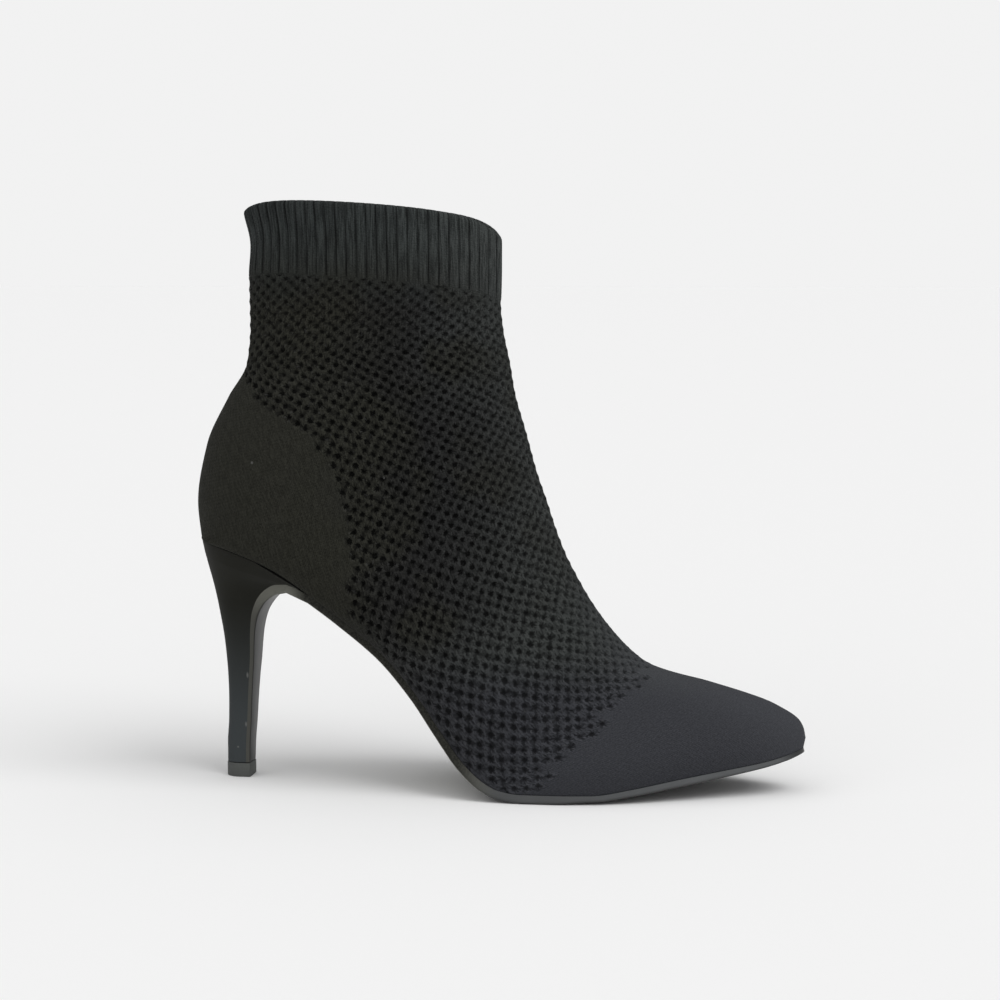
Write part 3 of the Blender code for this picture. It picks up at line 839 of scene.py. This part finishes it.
def relief_tree():
    """Raises knots and ribs and sinks the openings of the knit."""
    tree = bpy.data.node_groups.new("knit_relief", "GeometryNodeTree")
    sizes = ("Rib Height", "Knot Height", "Hole Depth", "Hole Wander", "Hole Least", "Hole Most")
    inputs = [("Geometry", "Geometry"), *((name, "Float") for name in sizes)]
    inputs += [("Seed", "Int"), ("Material", "Material")]
    for name, kind in inputs:
        tree.interface.new_socket(name, in_out="INPUT", socket_type="NodeSocket" + kind)
    tree.interface.new_socket("Geometry", in_out="OUTPUT", socket_type="NodeSocketGeometry")
    nodes = Nodes(tree)
    given = nodes.add("NodeGroupInput")

    def stored(name, kind="FLOAT"):
        return nodes.add("GeometryNodeInputNamedAttribute", {"data_type": kind}, {"Name": name})

    rib = RIB_BASE - stored("rib") ** RIB_SHARP
    height = rib * stored("ribbed") * given.other("Rib Height")
    height = height + stored("knot") * given.other("Knot Height")
    normal = nodes.add("GeometryNodeInputNormal")
    scaled = {0: normal, "Scale": height}
    offset = nodes.add("ShaderNodeVectorMath", {"operation": "SCALE"}, scaled)
    raised = nodes.add("GeometryNodeSetPosition", None, {"Geometry": given, "Offset": offset})
    spread = given.other("Hole Wander")
    least = nodes.add("ShaderNodeCombineXYZ", None, {axis: spread * -1.0 for axis in "XYZ"})
    most = nodes.add("ShaderNodeCombineXYZ", None, {axis: spread for axis in "XYZ"})
    lean = nodes.add(
        "FunctionNodeRandomValue",
        {"data_type": "FLOAT_VECTOR"},
        {0: least, 1: most, 8: given.other("Seed")},
    )
    inward = nodes.add("ShaderNodeVectorMath", {"operation": "ADD"}, {0: normal, 1: lean})
    sunk = nodes.add(
        "GeometryNodeExtrudeMesh",
        {"mode": "FACES"},
        {
            "Mesh": raised,
            "Selection": stored("open", "BOOLEAN"),
            "Offset": inward,
            "Offset Scale": given.other("Hole Depth") * stored("hole_size") * -1.0,
            "Individual": True,
        },
    )
    floors = sunk.other("Top")
    chance = nodes.add(
        "FunctionNodeRandomValue",
        {"data_type": "FLOAT"},
        {2: given.other("Hole Least"), 3: given.other("Hole Most"), 8: given.other("Seed")},
        out=1,
    )
    narrowed = nodes.add(
        "GeometryNodeScaleElements",
        {"domain": "FACE"},
        {"Geometry": sunk, "Selection": floors, "Scale": chance * stored("hole_size")},
    )
    marked = nodes.add(
        "GeometryNodeStoreNamedAttribute",
        {"data_type": "FLOAT", "domain": "POINT"},
        {"Geometry": narrowed, "Selection": floors, "Name": "pit", "Value": 1.0},
    )
    whole = nodes.add("GeometryNodeRealizeInstances", None, {"Geometry": marked})
    dressing = {"Geometry": whole, "Material": given.other("Material")}
    dressed = nodes.add("GeometryNodeSetMaterial", None, dressing)
    result = tree.nodes.new("NodeGroupOutput")
    tree.links.new(dressed.socket, result.inputs[0])
    return tree


def grown(name, data, tree, **values):
    """Plain mesh from a mesh and a node tree with its sizes."""
    holder = placed(name, data)
    growth = holder.modifiers.new(name, "NODES")
    growth.node_group = tree
    for item in tree.interface.items_tree:
        key = item.name.lower().replace(" ", "_")
        if item.in_out == "INPUT" and key in values:
            growth[item.identifier] = values[key]
    depsgraph = bpy.context.evaluated_depsgraph_get()
    made = bpy.data.meshes.new_from_object(holder.evaluated_get(depsgraph))
    bpy.data.objects.remove(holder)
    made.name = name
    return made


# Stitches in one repeat of the knit, across and along
STITCHES = (4.0, 5.0)

# Yarn colours, dark between the threads and light on them, some of them as painted light and
# painted shade
BLACK_YARN = (shade(0.0007, 0.0007, 0.0007), shade(0.058, 0.058, 0.057))
OLIVE_SHADE_AND_PATCH_YARN = (shade(0.0013, 0.0013, 0.0007), shade(0.0465, 0.0465, 0.0358))
LIT_COOL_YARN = (shade(0.0065, 0.007, 0.0084), shade(0.0735, 0.076, 0.0868))
LIT_GREEN_YARN = (shade(0.0065, 0.0075, 0.0072), shade(0.086, 0.0935, 0.09))
RIB_YARN = (shade(0.0052, 0.0062, 0.0062), shade(0.0605, 0.069, 0.0675))
# Near-black, for painted shade and for ribs that are darker at random
DEEP = shade(0.002, 0.002, 0.002)
HOLLOW_SHADE = shade(0.003, 0.003, 0.003)
CREST_HIGHLIGHT = shade(0.064, 0.067, 0.075)
FLECK = shade(0.065, 0.065, 0.065)
LINT = shade(0.14, 0.14, 0.135)

# Specks on the outer side: along and rise in the part's frame (metres), height to width
Speck = namedtuple("Speck", "along rise tall")
LINT_SPECKS = (Speck(-0.0882, 0.1215, 1.0), Speck(-0.0392, 0.1164, 1.0))

# Distance from the middle of a speck (metres) where it is gone, and where it is whole
LINT_REACH = (0.0007, 0.0002)
GLUE_REACH = (0.0006, 0.0001)


def speck(place, along, rise, tall, gone, whole):
    """1 within a small spot seen from the side, 0 outside it."""
    off, over = place - along, (place.other("Z") - rise) / tall
    return (off * off + over * over).math("SQRT").step(gone, whole)


def knit_finish(name):
    """Black knit: rows of loops in the knit's own coordinates; painted shade in the openings and
    rib grooves, painted light and shade over the boot.
    """
    finish = Finish(name, sheen_weight=0.02, sheen_roughness=0.5, specular_ior_level=0.08)
    mix = finish.mix
    stored = finish.stored
    mark = finish.add("ShaderNodeUVMap", {"uv_map": "knit"})
    across = finish.add("ShaderNodeSeparateXYZ", None, {0: mark})
    along = across.other("Y")
    leg = abs((across * STITCHES[0]).math("FRACT") * 2.0 - 1.0)
    arms = 1.0 - (leg * 2.0 - 1.0) ** 2.0
    loop = arms * ((along * STITCHES[1] + leg * 0.5).wave() * 0.7 + 0.3)

    def strewn(wide, tall, low, high):
        """Noise of so many grains across and along one repeat of the knit."""
        drawn = finish.add("ShaderNodeCombineXYZ", None, {0: across * wide, 1: along * tall})
        return finish.noise(1.0, 1.0, 0.5, drawn).step(low, high)

    streak = strewn(9.0, 0.45, 0.34, 0.66)
    fine = strewn(8.5, 6.5, 0.36, 0.66)
    legs = strewn(6.5, 1.7, 0.42, 0.62)
    steep = strewn(6.5, 1.2, 0.38, 0.64)
    fuzz = strewn(6.0, 4.6, 0.42, 0.62)
    fleck = strewn(7.5, 3.5, 0.6, 0.74)
    mottle = strewn(2.2, 1.7, 0.3, 0.7)
    cloudy = finish.noise(30.0, 2.0)
    # Painted shade in the openings, with a ragged edge
    ragged = (fuzz - 0.5) * 0.5 + (legs - 0.5) * 0.4 + (mottle - 0.5) * 0.4
    pit = (stored("pit") + ragged).step(0.36, 0.9)
    uneven = strewn(1.5, 0.12, 0.35, 0.65)
    # Painted shade in the grooves between the ribs, a little uneven
    groove = stored("rib").step(0.66, 1.0) * stored("groove") * (uneven * 0.35 + 0.7)
    cuff = stored("cuff")

    # Where the painted light and shade lie, along and up the boot (metres)
    spot = finish.spot()
    high = spot.other("Z")
    fore = (spot + high.step(0.075, 0.04) * 0.03).step(-0.035, 0.045)
    front = high.step(0.13, 0.17) * spot.step(-0.04, -0.005) * 0.65
    back = spot.step(-0.02, -0.07)

    def blend(share, first, second):
        return finish.add("ShaderNodeMix", {"data_type": "FLOAT"}, {0: share, 2: first, 3: second})

    # Painted light: the plain knit's grain is raised on the forefoot, and the open work there is
    # toned down a little
    plain = fine * 0.12 + loop * 0.14 + steep * (0.13 - fore * 0.1) + fore * 0.095 + 0.19
    open_work = (legs * 0.46 + fuzz * 0.34 + mottle * 0.18 + 0.03) * (1.0 - fore * 0.11)
    grain = blend(stored("net"), plain, open_work)
    grain = blend(cuff, grain, streak * 0.45 + fine * 0.15 + 0.2)
    yarn = mix(grain, *BLACK_YARN)
    olive_shade_and_patches = mix(grain, *OLIVE_SHADE_AND_PATCH_YARN)
    lit_cool = mix(grain, *LIT_COOL_YARN)
    green = mix(grain, *LIT_GREEN_YARN)
    # The ribs are darker towards the back as painted shade, and darker at random from rib to rib
    ribs = mix(back * 0.2 + uneven * 0.15, mix(grain, *RIB_YARN), DEEP)
    # Painted shade: a darker band down the middle of the shaft and ankle
    middle = spot.step(-0.075, -0.045) * spot.step(0.02, -0.01) * high.step(0.05, 0.07)
    yarn = mix(middle * 0.4, yarn, DEEP)
    # Painted shade: the back of the boot and the heel pocket in a darker, yellowish tone
    yarn = mix(back * 0.9, yarn, olive_shade_and_patches)
    yarn = mix(cuff, yarn, ribs)
    # Painted light: the front of the shaft in a lighter green tone, less so on the cuff
    yarn = mix(front * (1.0 - cuff * 0.6), yarn, green)
    # Painted light: the forefoot in a lighter bluish tone, greener and lighter still on the top of
    # the toe
    yarn = mix(fore, yarn, mix(high.step(0.034, 0.058), lit_cool, green))
    yarn = mix(cloudy.step(0.5, 0.62) * (1.0 - cuff) * (1.0 - fore) * 0.8, yarn, olive_shade_and_patches)
    # Painted shade round the rim of each opening
    yarn = mix((1.0 - stored("full")) * 0.3, yarn, HOLLOW_SHADE)
    yarn = mix(fleck * stored("net") * 0.25, yarn, FLECK)
    # Painted highlight along the middle of the toe's top
    crest_highlight = spot.step(0.02, 0.06) * abs(spot.other("Y")).step(0.024, 0.006)
    yarn = mix(crest_highlight * 0.3, yarn, CREST_HIGHLIGHT)
    outside = spot.other("Y").step(0.0, -0.01)
    for bit in LINT_SPECKS:
        yarn = mix(speck(spot, *bit, *LINT_REACH) * outside * 0.5, yarn, LINT)
    finish.set(
        base_color=yarn,
        roughness=0.85 + fuzz * 0.15,
        normal=finish.bump(loop * 0.6 + fuzz * 0.6, 0.7, 0.0003),
    )
    # A near-black shader laid over the openings and the rib grooves as painted shade, weaker on the
    # forefoot and in small openings
    pit = pit * stored("net") * (stored("hole_size") * 0.5 + 0.5) * (1.0 - fore * 0.15)
    hollow_shade = pit.math("MAXIMUM", groove * 0.72)
    finish.cover(hollow_shade * 0.95, "ShaderNodeBsdfDiffuse", color=HOLLOW_SHADE)
    return finish


knit = knit_finish("black_knit")
relief = relief_tree()
sizes = {
    "rib_height": 0.55 * MM,
    "knot_height": 0.12 * MM,
    "hole_depth": 0.9 * MM,
    "hole_wander": 0.45,
    "hole_least": 0.22,
    "hole_most": 0.46,
    "seed": 3,
    "material": knit.material,
}
show("upper_knit", grown("upper_knit", knit_base, relief, **sizes), knit, "upper")


LINING_TURNS = 97
LINING_SHAFT = 44
LINING_BEND = 12
LINING_ANGLE = 0.1
LINING_STEP = 2.5


def lining_mesh():
    """Inner face of the wall below the cuff, turned out to the outer edge along the bottom."""
    lining_turns = np.linspace(-1.0, 1.0, LINING_TURNS)
    shaft = np.linspace(cuff_place, 0.0, LINING_SHAFT)
    bend = np.linspace(LINING_ANGLE, math.pi / 2, LINING_BEND, endpoint=False)
    seat = KNIT_WALL + (SEAT_ROUND - KNIT_WALL) * (1 - np.cos(bend))
    end = TOE_END - SEAT_BACK - KNIT_WALL
    toe = end - TOE_ROUND * (1 - np.cos(np.append(bend[::-1], 0.0)))
    foot = np.arange(SEAT_ROUND, end - TOE_ROUND, LINING_STEP)
    rows = np.concatenate((shaft, seat, foot, toe))
    points = upper_points(rows, lining_turns, 1.0)
    marks = np.stack(np.meshgrid(lining_turns * REPEATS_ROUND / 2, rows / REPEAT(0.0)), axis=-1)
    sheet = bmesh.new()
    sheet.loops.layers.uv.new("knit")
    verts = [[sheet.verts.new(point) for point in ring] for ring in in_frame(points)]
    for r in range(len(rows) - 1):
        for c in range(len(lining_turns) - 1):
            spots = ((r, c), (r, c + 1), (r + 1, c + 1), (r + 1, c))
            face(sheet, [verts[a][b] for a, b in spots], [marks[spot] for spot in spots])
    for c in (0, -1):
        edge = upper_points(np.maximum(rows, 0.0), [lining_turns[c]], 0.0)[:, 0]
        lip = [sheet.verts.new(point) for point in in_frame(edge)]
        for r in range(len(shaft), len(rows) - 1):
            spots = ((r, c), (r + 1, c), (r + 1, c), (r, c))
            corners = [verts[r][c], verts[r + 1][c], lip[r + 1], lip[r]]
            face(sheet, corners[::-1] if c else corners, [marks[spot] for spot in spots])
    weld(sheet)
    return finished("upper_lining", sheet)


show("upper_lining", lining_mesh(), knit, "upper")


# Heel
# A slim block moulded in hard plastic and wrapped in thin black cloth, screwed on under the
# seat. Its front is left for the flap of the sole.
HEEL_ROUND = 0.6
HEEL_CORNER = 0.8
HEEL_LAP = 0.1
SEAT_FRONT = 44.5
HEEL_STEPS = 6
CORNER_STEPS = 5

# Heel from its tip to its seat: back and breast along (of LENGTH) and rise (of HEEL_HEIGHT),
# half-width (of BALL_WIDTH), thickness of the flap in front (of SOLE_EDGE)
Level = namedtuple("Level", "back back_rise breast breast_rise half flap")
HEEL = (
    Level(4.75, 6.2, 8.4, 6.2, 6.4, 40),
    Level(4.75, 14.3, 8.5, 14.3, 6.8, 40),
    Level(5.0, 24.2, 8.75, 23.1, 7.3, 40),
    Level(5.05, 34.1, 8.95, 32.4, 7.8, 40),
    Level(4.95, 42.9, 9.2, 41.8, 8.5, 40),
    Level(4.7, 51.6, 9.5, 50.9, 9.5, 40),
    Level(4.35, 59.9, 9.65, 59.9, 10.8, 46),
    Level(3.85, 67.6, 10.0, 68.1, 12.6, 66),
    Level(3.3, 75.3, 10.95, 75.0, 15.4, 98),
    Level(2.7, 82.4, 12.7, 80.2, 19.5, 120),
    Level(2.05, 89.0, 14.9, 83.1, 24.5, 124),
    Level(1.45, 95.1, 17.1, 83.7, 28.8, 105),
)
LEVEL_SIZES = {
    "back": LENGTH,
    "back_rise": HEEL_HEIGHT,
    "breast": LENGTH,
    "breast_rise": HEEL_HEIGHT,
    "half": BALL_WIDTH,
    "flap": SOLE_EDGE,
}
level_places = np.linspace(0, len(HEEL) - 1, (len(HEEL) - 1) * HEEL_STEPS + 1)
levels = {
    name: Course(np.arange(len(HEEL)), column(HEEL, name, size))(level_places)
    for name, size in LEVEL_SIZES.items()
}
breast = np.stack((levels["breast"], levels["breast_rise"]), axis=-1)


def heel_outline(half):
    """Share from back to breast and half-width round one level: flat front, rounded back."""
    angles = np.linspace(0.0, math.pi / 2, ROUND_STEPS + 1)
    curve = [(HEEL_ROUND * (1 - math.cos(a)), half * math.sin(a)) for a in angles]
    corner = HEEL_CORNER / half / 2
    turn = np.linspace(0.0, math.pi / 2, CORNER_STEPS)
    curve += [
        (1 - corner * (1 - math.sin(a)), half - HEEL_CORNER * (1 - math.cos(a))) for a in turn
    ]
    lateral = [(share, -across) for share, across in reversed(curve[1:])]
    return lateral + curve


def square_to(path):
    """Unit steps to the left of a path in the side view."""
    run = np.gradient(path, axis=0)
    square = np.stack((-run[:, 1], run[:, 0]), axis=-1)
    return square / np.linalg.norm(square, axis=1, keepdims=True)


def heel_rings():
    """Heel levels from the tip up, the last one following the curved seat."""
    fronts = breast - square_to(breast) * HEEL_LAP
    backs = np.stack((levels["back"], levels["back_rise"]), axis=-1)
    rings = []
    for back, front, half in zip(backs, fronts, levels["half"]):
        outline = heel_outline(half)
        rings.append([aside(back + (front - back) * share, across) for share, across in outline])
    seat = []
    for share, across in heel_outline(max(bed_halves(SEAT_BACK + SEAT_ROUND))):
        along = SEAT_BACK + (SEAT_FRONT - SEAT_BACK) * share
        seat.append((along, across, float(bed_rise(along))))
    return rings + [seat]


# Glue marks on the outer side
GLUE_SPECKS = (
    Speck(-0.0951, 0.0395, 2.6),
    Speck(-0.0961, 0.0205, 2.2),
    Speck(-0.0994, 0.0116, 0.9),
)
cover = Finish("heel_cloth", sheen_weight=0.03, specular_ior_level=0.17)
grain = cover.noise(3200.0, 2.0, 0.6)
patchy = cover.noise(55.0, 3.0)
side = cover.spot()
low = side.other("Z").step(0.075, 0.012)
smear = 0.0
for glue in GLUE_SPECKS:
    smear = speck(side, *glue, *GLUE_REACH) + smear
smear = smear * side.other("Y").step(0.0, -0.002) * 0.45
cloth = cover.mix(patchy, shade(0.006, 0.006, 0.0035), shade(0.0105, 0.0105, 0.0075))
cloth = cover.mix(low, cloth, shade(0.04, 0.0455, 0.048))
cover.set(
    base_color=cover.mix(smear, cloth, shade(0.2, 0.2, 0.19)),
    roughness=0.75 + grain * 0.2,
    normal=cover.bump(grain, 0.25, 0.0002),
)
show("heel_block", loft("heel_block", heel_rings()), cover, "heel", 40)


# Outsole
# A thin sheet of grey moulded rubber glued under the upper from toe to waist. Behind the waist
# it narrows to a smooth flap that runs down the front of the heel.
SOLE_BEVEL = 1.1
SOLE_PROUD = 0.5
SOLE_LAP = 0.4
FLAP_START = 46.0
BEVEL_STEPS = 4


def outsole_rings():
    """Sole sections from the toe over the waist, then down the front of the heel."""
    bed = stations()[::-1]
    bed = bed[bed > FLAP_START]
    halves = np.stack(bed_halves(bed), axis=-1) + SOLE_PROUD
    flap = np.stack((levels["half"], levels["half"]), axis=-1)[::-1]
    path = np.vstack((np.stack((bed, bed_rise(bed)), axis=-1), breast[::-1]))
    halves = np.vstack((halves, flap))
    edges = np.concatenate((BED_EDGE(bed), levels["flap"][::-1]))
    rings = []
    for spot, down, (lateral, medial), edge in zip(path, square_to(path), halves, edges):
        bevel = min(SOLE_BEVEL, edge / 2, lateral / 2)
        turn = np.linspace(0.0, math.pi / 2, BEVEL_STEPS)
        soft = [(bevel * (1 - math.cos(a)), edge - bevel + bevel * math.sin(a)) for a in turn]
        near = [(-lateral, -SOLE_LAP), (-lateral, (edge - bevel) / 2)]
        near += [(inward - lateral, deep) for inward, deep in soft]
        far = [(medial - (across + lateral), deep) for across, deep in near]
        outline = near + far[::-1]
        rings.append([aside(spot + down * deep, across) for across, deep in outline])
    return rings


# Rubber colours, dark and light in its smears, with painted shade on the underside and painted
# reflection at the waist and on the flap's rim
GREY_RUBBER = (shade(0.05, 0.052, 0.053), shade(0.08, 0.083, 0.085))
FORE_RUBBER = (shade(0.062, 0.065, 0.067), shade(0.1, 0.104, 0.107))
WAIST_RUBBER_AND_REFLECTION = (shade(0.12, 0.12, 0.1), shade(0.21, 0.21, 0.185))
FLAP_RUBBER = (shade(0.004, 0.004, 0.0038), shade(0.013, 0.013, 0.0125))
UNDERSIDE_SHADE = shade(0.015, 0.015, 0.015)
FLAP_RIM_AND_REFLECTION = (shade(0.06, 0.06, 0.053), shade(0.12, 0.12, 0.103))
FELT = (shade(0.008, 0.008, 0.006), shade(0.026, 0.026, 0.021))

sole = Finish("sole_rubber", specular_ior_level=0.22)
fine = sole.noise(1500.0, 2.0, 0.6)
smear = sole.noise(70.0, 4.0)
along = sole.spot()
behind = along.step(-0.068, -0.076)
rise = along.other("Z")
flap = behind * rise.step(0.076, 0.066)
waist = along.step(0.006, -0.012)
edge = sole.stored("edge")
# Painted shade at the foot of the edge, on the underside and at the toe's tip
low = sole.stored("low").step(0.5, 1.0) * 0.85
tip = along.step(0.104, 0.112) * 0.8
rubber = sole.mix(smear, *GREY_RUBBER)
rubber = sole.mix(along.step(0.02, 0.06), rubber, sole.mix(smear, *FORE_RUBBER))
rubber = sole.mix(low.math("MAXIMUM", tip), rubber, UNDERSIDE_SHADE)
# Paler rubber under the waist: partly its own grey, partly painted reflection
rubber = sole.mix(waist, rubber, sole.mix(smear, *WAIST_RUBBER_AND_REFLECTION))
rubber = sole.mix(flap, rubber, sole.mix(smear, *FLAP_RUBBER))
# The rim behind the waist and down the heel's front: dark rubber below, paler towards the top as
# painted reflection
rubber = sole.mix(edge * behind, rubber, sole.mix(rise.step(0.06, 0.074), *FLAP_RIM_AND_REFLECTION))
felt = sole.mix(fine.step(0.35, 0.65), *FELT)
rubber = sole.mix(edge * waist * (1.0 - behind), rubber, felt)
sole.set(
    base_color=rubber,
    roughness=0.34 + smear * 0.16 + edge * waist * 0.4,
    normal=sole.bump(fine, 0.12, 0.0002),
)

# Kept on each point, from the top of a section's edge to the underside: edge, lowness
sheet = loft("sole_sheet", outsole_rings())
half_edge = [1.0] * (2 + BEVEL_STEPS // 2) + [0.0] * (BEVEL_STEPS // 2)
half_low = [0.0, 0.3, *np.linspace(0.6, 1.0, BEVEL_STEPS)]
for name, half in (("edge", half_edge), ("low", half_low)):
    kept = sheet.attributes.new(name, "FLOAT", "POINT")
    kept.data.foreach_set("value", (half + half[::-1]) * (len(sheet.vertices) // (2 * len(half))))
show("sole_sheet", sheet, sole, "outsole", 40)


# Top piece
# A small block of hard dark rubber pinned to the heel's tip, with slightly rounded edges.
TOP_PIECE_THICK = 5.3
TOP_PIECE_PROUD = 0.2
TOP_PIECE_SOFT = 0.35


def top_piece_rings():
    """Levels of the block, drawn in a little at the lower and upper edge."""
    back = levels["back"][0] - TOP_PIECE_PROUD
    front = levels["breast"][0] + levels["flap"][0] + TOP_PIECE_PROUD
    middle = (back + front) / 2
    outline = heel_outline(levels["half"][0] + TOP_PIECE_PROUD)
    soft = TOP_PIECE_SOFT
    rises = (
        (0.0, soft),
        (0.3 * soft, 0.3 * soft),
        (soft, 0.0),
        (TOP_PIECE_THICK - soft, 0.0),
        (TOP_PIECE_THICK, 0.5 * soft),
    )
    rings = []
    for rise, drawn in rises:
        shrink = 1.0 - 2.0 * drawn / (front - back)
        ring = []
        for share, across in outline:
            along = middle + (back + (front - back) * share - middle) * shrink
            ring.append((along, across * shrink, rise))
        rings.append(ring)
    return rings


lift = Finish("lift_rubber", specular_ior_level=0.45)
pores = lift.noise(1800.0, 3.0, 0.6)
lift.set(
    base_color=lift.mix(pores, shade(0.048, 0.0515, 0.048), shade(0.078, 0.0825, 0.078)),
    roughness=0.55 + pores * 0.2,
    normal=lift.bump(pores, 0.2, 0.0002),
)
show("heel_lift", loft("heel_lift", top_piece_rings()), lift, "top_piece", 40)


# Floor, light and camera
# A plain pale floor without an edge in sight, a soft lamp from the right and a wide one from the
# camera's side, and the view of the boot's outer side.
FLOOR_HALF = 40.0
PALE = 0.886
AROUND = 0.31
floor_data = bpy.data.meshes.new("floor")
floor_data.from_pydata(
    [(x * FLOOR_HALF, y * FLOOR_HALF, 0.0) for x, y in ((-1, -1), (1, -1), (1, 1), (-1, 1))],
    [],
    [(0, 1, 2, 3)],
)
floor = placed("floor", floor_data)
pale = Finish("pale_floor", base_color=shade(0.9, 0.9, 0.9), roughness=0.9, specular_ior_level=0.1)
floor_data.materials.append(pale.material)

world = bpy.data.worlds.new("studio")
scene = bpy.context.scene
scene.world = world
world.use_nodes = True
sky = Nodes(world.node_tree)
for node in list(world.node_tree.nodes):
    world.node_tree.nodes.remove(node)
seen = sky.add("ShaderNodeLightPath", out="Is Camera Ray")
around = sky.add("ShaderNodeBackground", None, {"Color": shade(1.0, 1.0, 1.0), "Strength": AROUND})
behind = sky.add("ShaderNodeBackground", None, {"Color": shade(PALE, PALE, PALE), "Strength": 1.0})
both = sky.add("ShaderNodeMixShader", None, {0: seen, 1: around, 2: behind})
world_end = world.node_tree.nodes.new("ShaderNodeOutputWorld")
world.node_tree.links.new(both.socket, world_end.inputs["Surface"])

# Lamps: where each stands, its strength and spread (degrees)
Lamp = namedtuple("Lamp", "name stands strength spread")
LAMPS = (
    Lamp("key", (0.56, -0.28, 0.78), 1.15, 40),
    Lamp("fill", (0.05, -0.5, 0.87), 1.5, 120),
)
for lamp in LAMPS:
    lamp_data = bpy.data.lights.new(lamp.name, "SUN")
    lamp_data.energy = lamp.strength
    lamp_data.angle = math.radians(lamp.spread)
    light = placed(lamp.name, lamp_data)
    light.rotation_euler = Vector(lamp.stands).to_track_quat("Z", "Y").to_euler()

CAMERA_SPOT = (0.1249, -0.8914, 0.1899)
CAMERA_YAW = 0.1388
CAMERA_PITCH = 0.0923
CAMERA_LENS = 87.25
CAMERA_SENSOR = 36.0
camera_data = bpy.data.cameras.new("view")
camera_data.sensor_width = CAMERA_SENSOR
camera_data.lens = CAMERA_LENS
camera = placed("view", camera_data)
camera.location = CAMERA_SPOT
camera.rotation_euler = (math.pi / 2 - CAMERA_PITCH, 0.0, CAMERA_YAW)
scene.camera = camera
scene.view_settings.view_transform = "Standard"
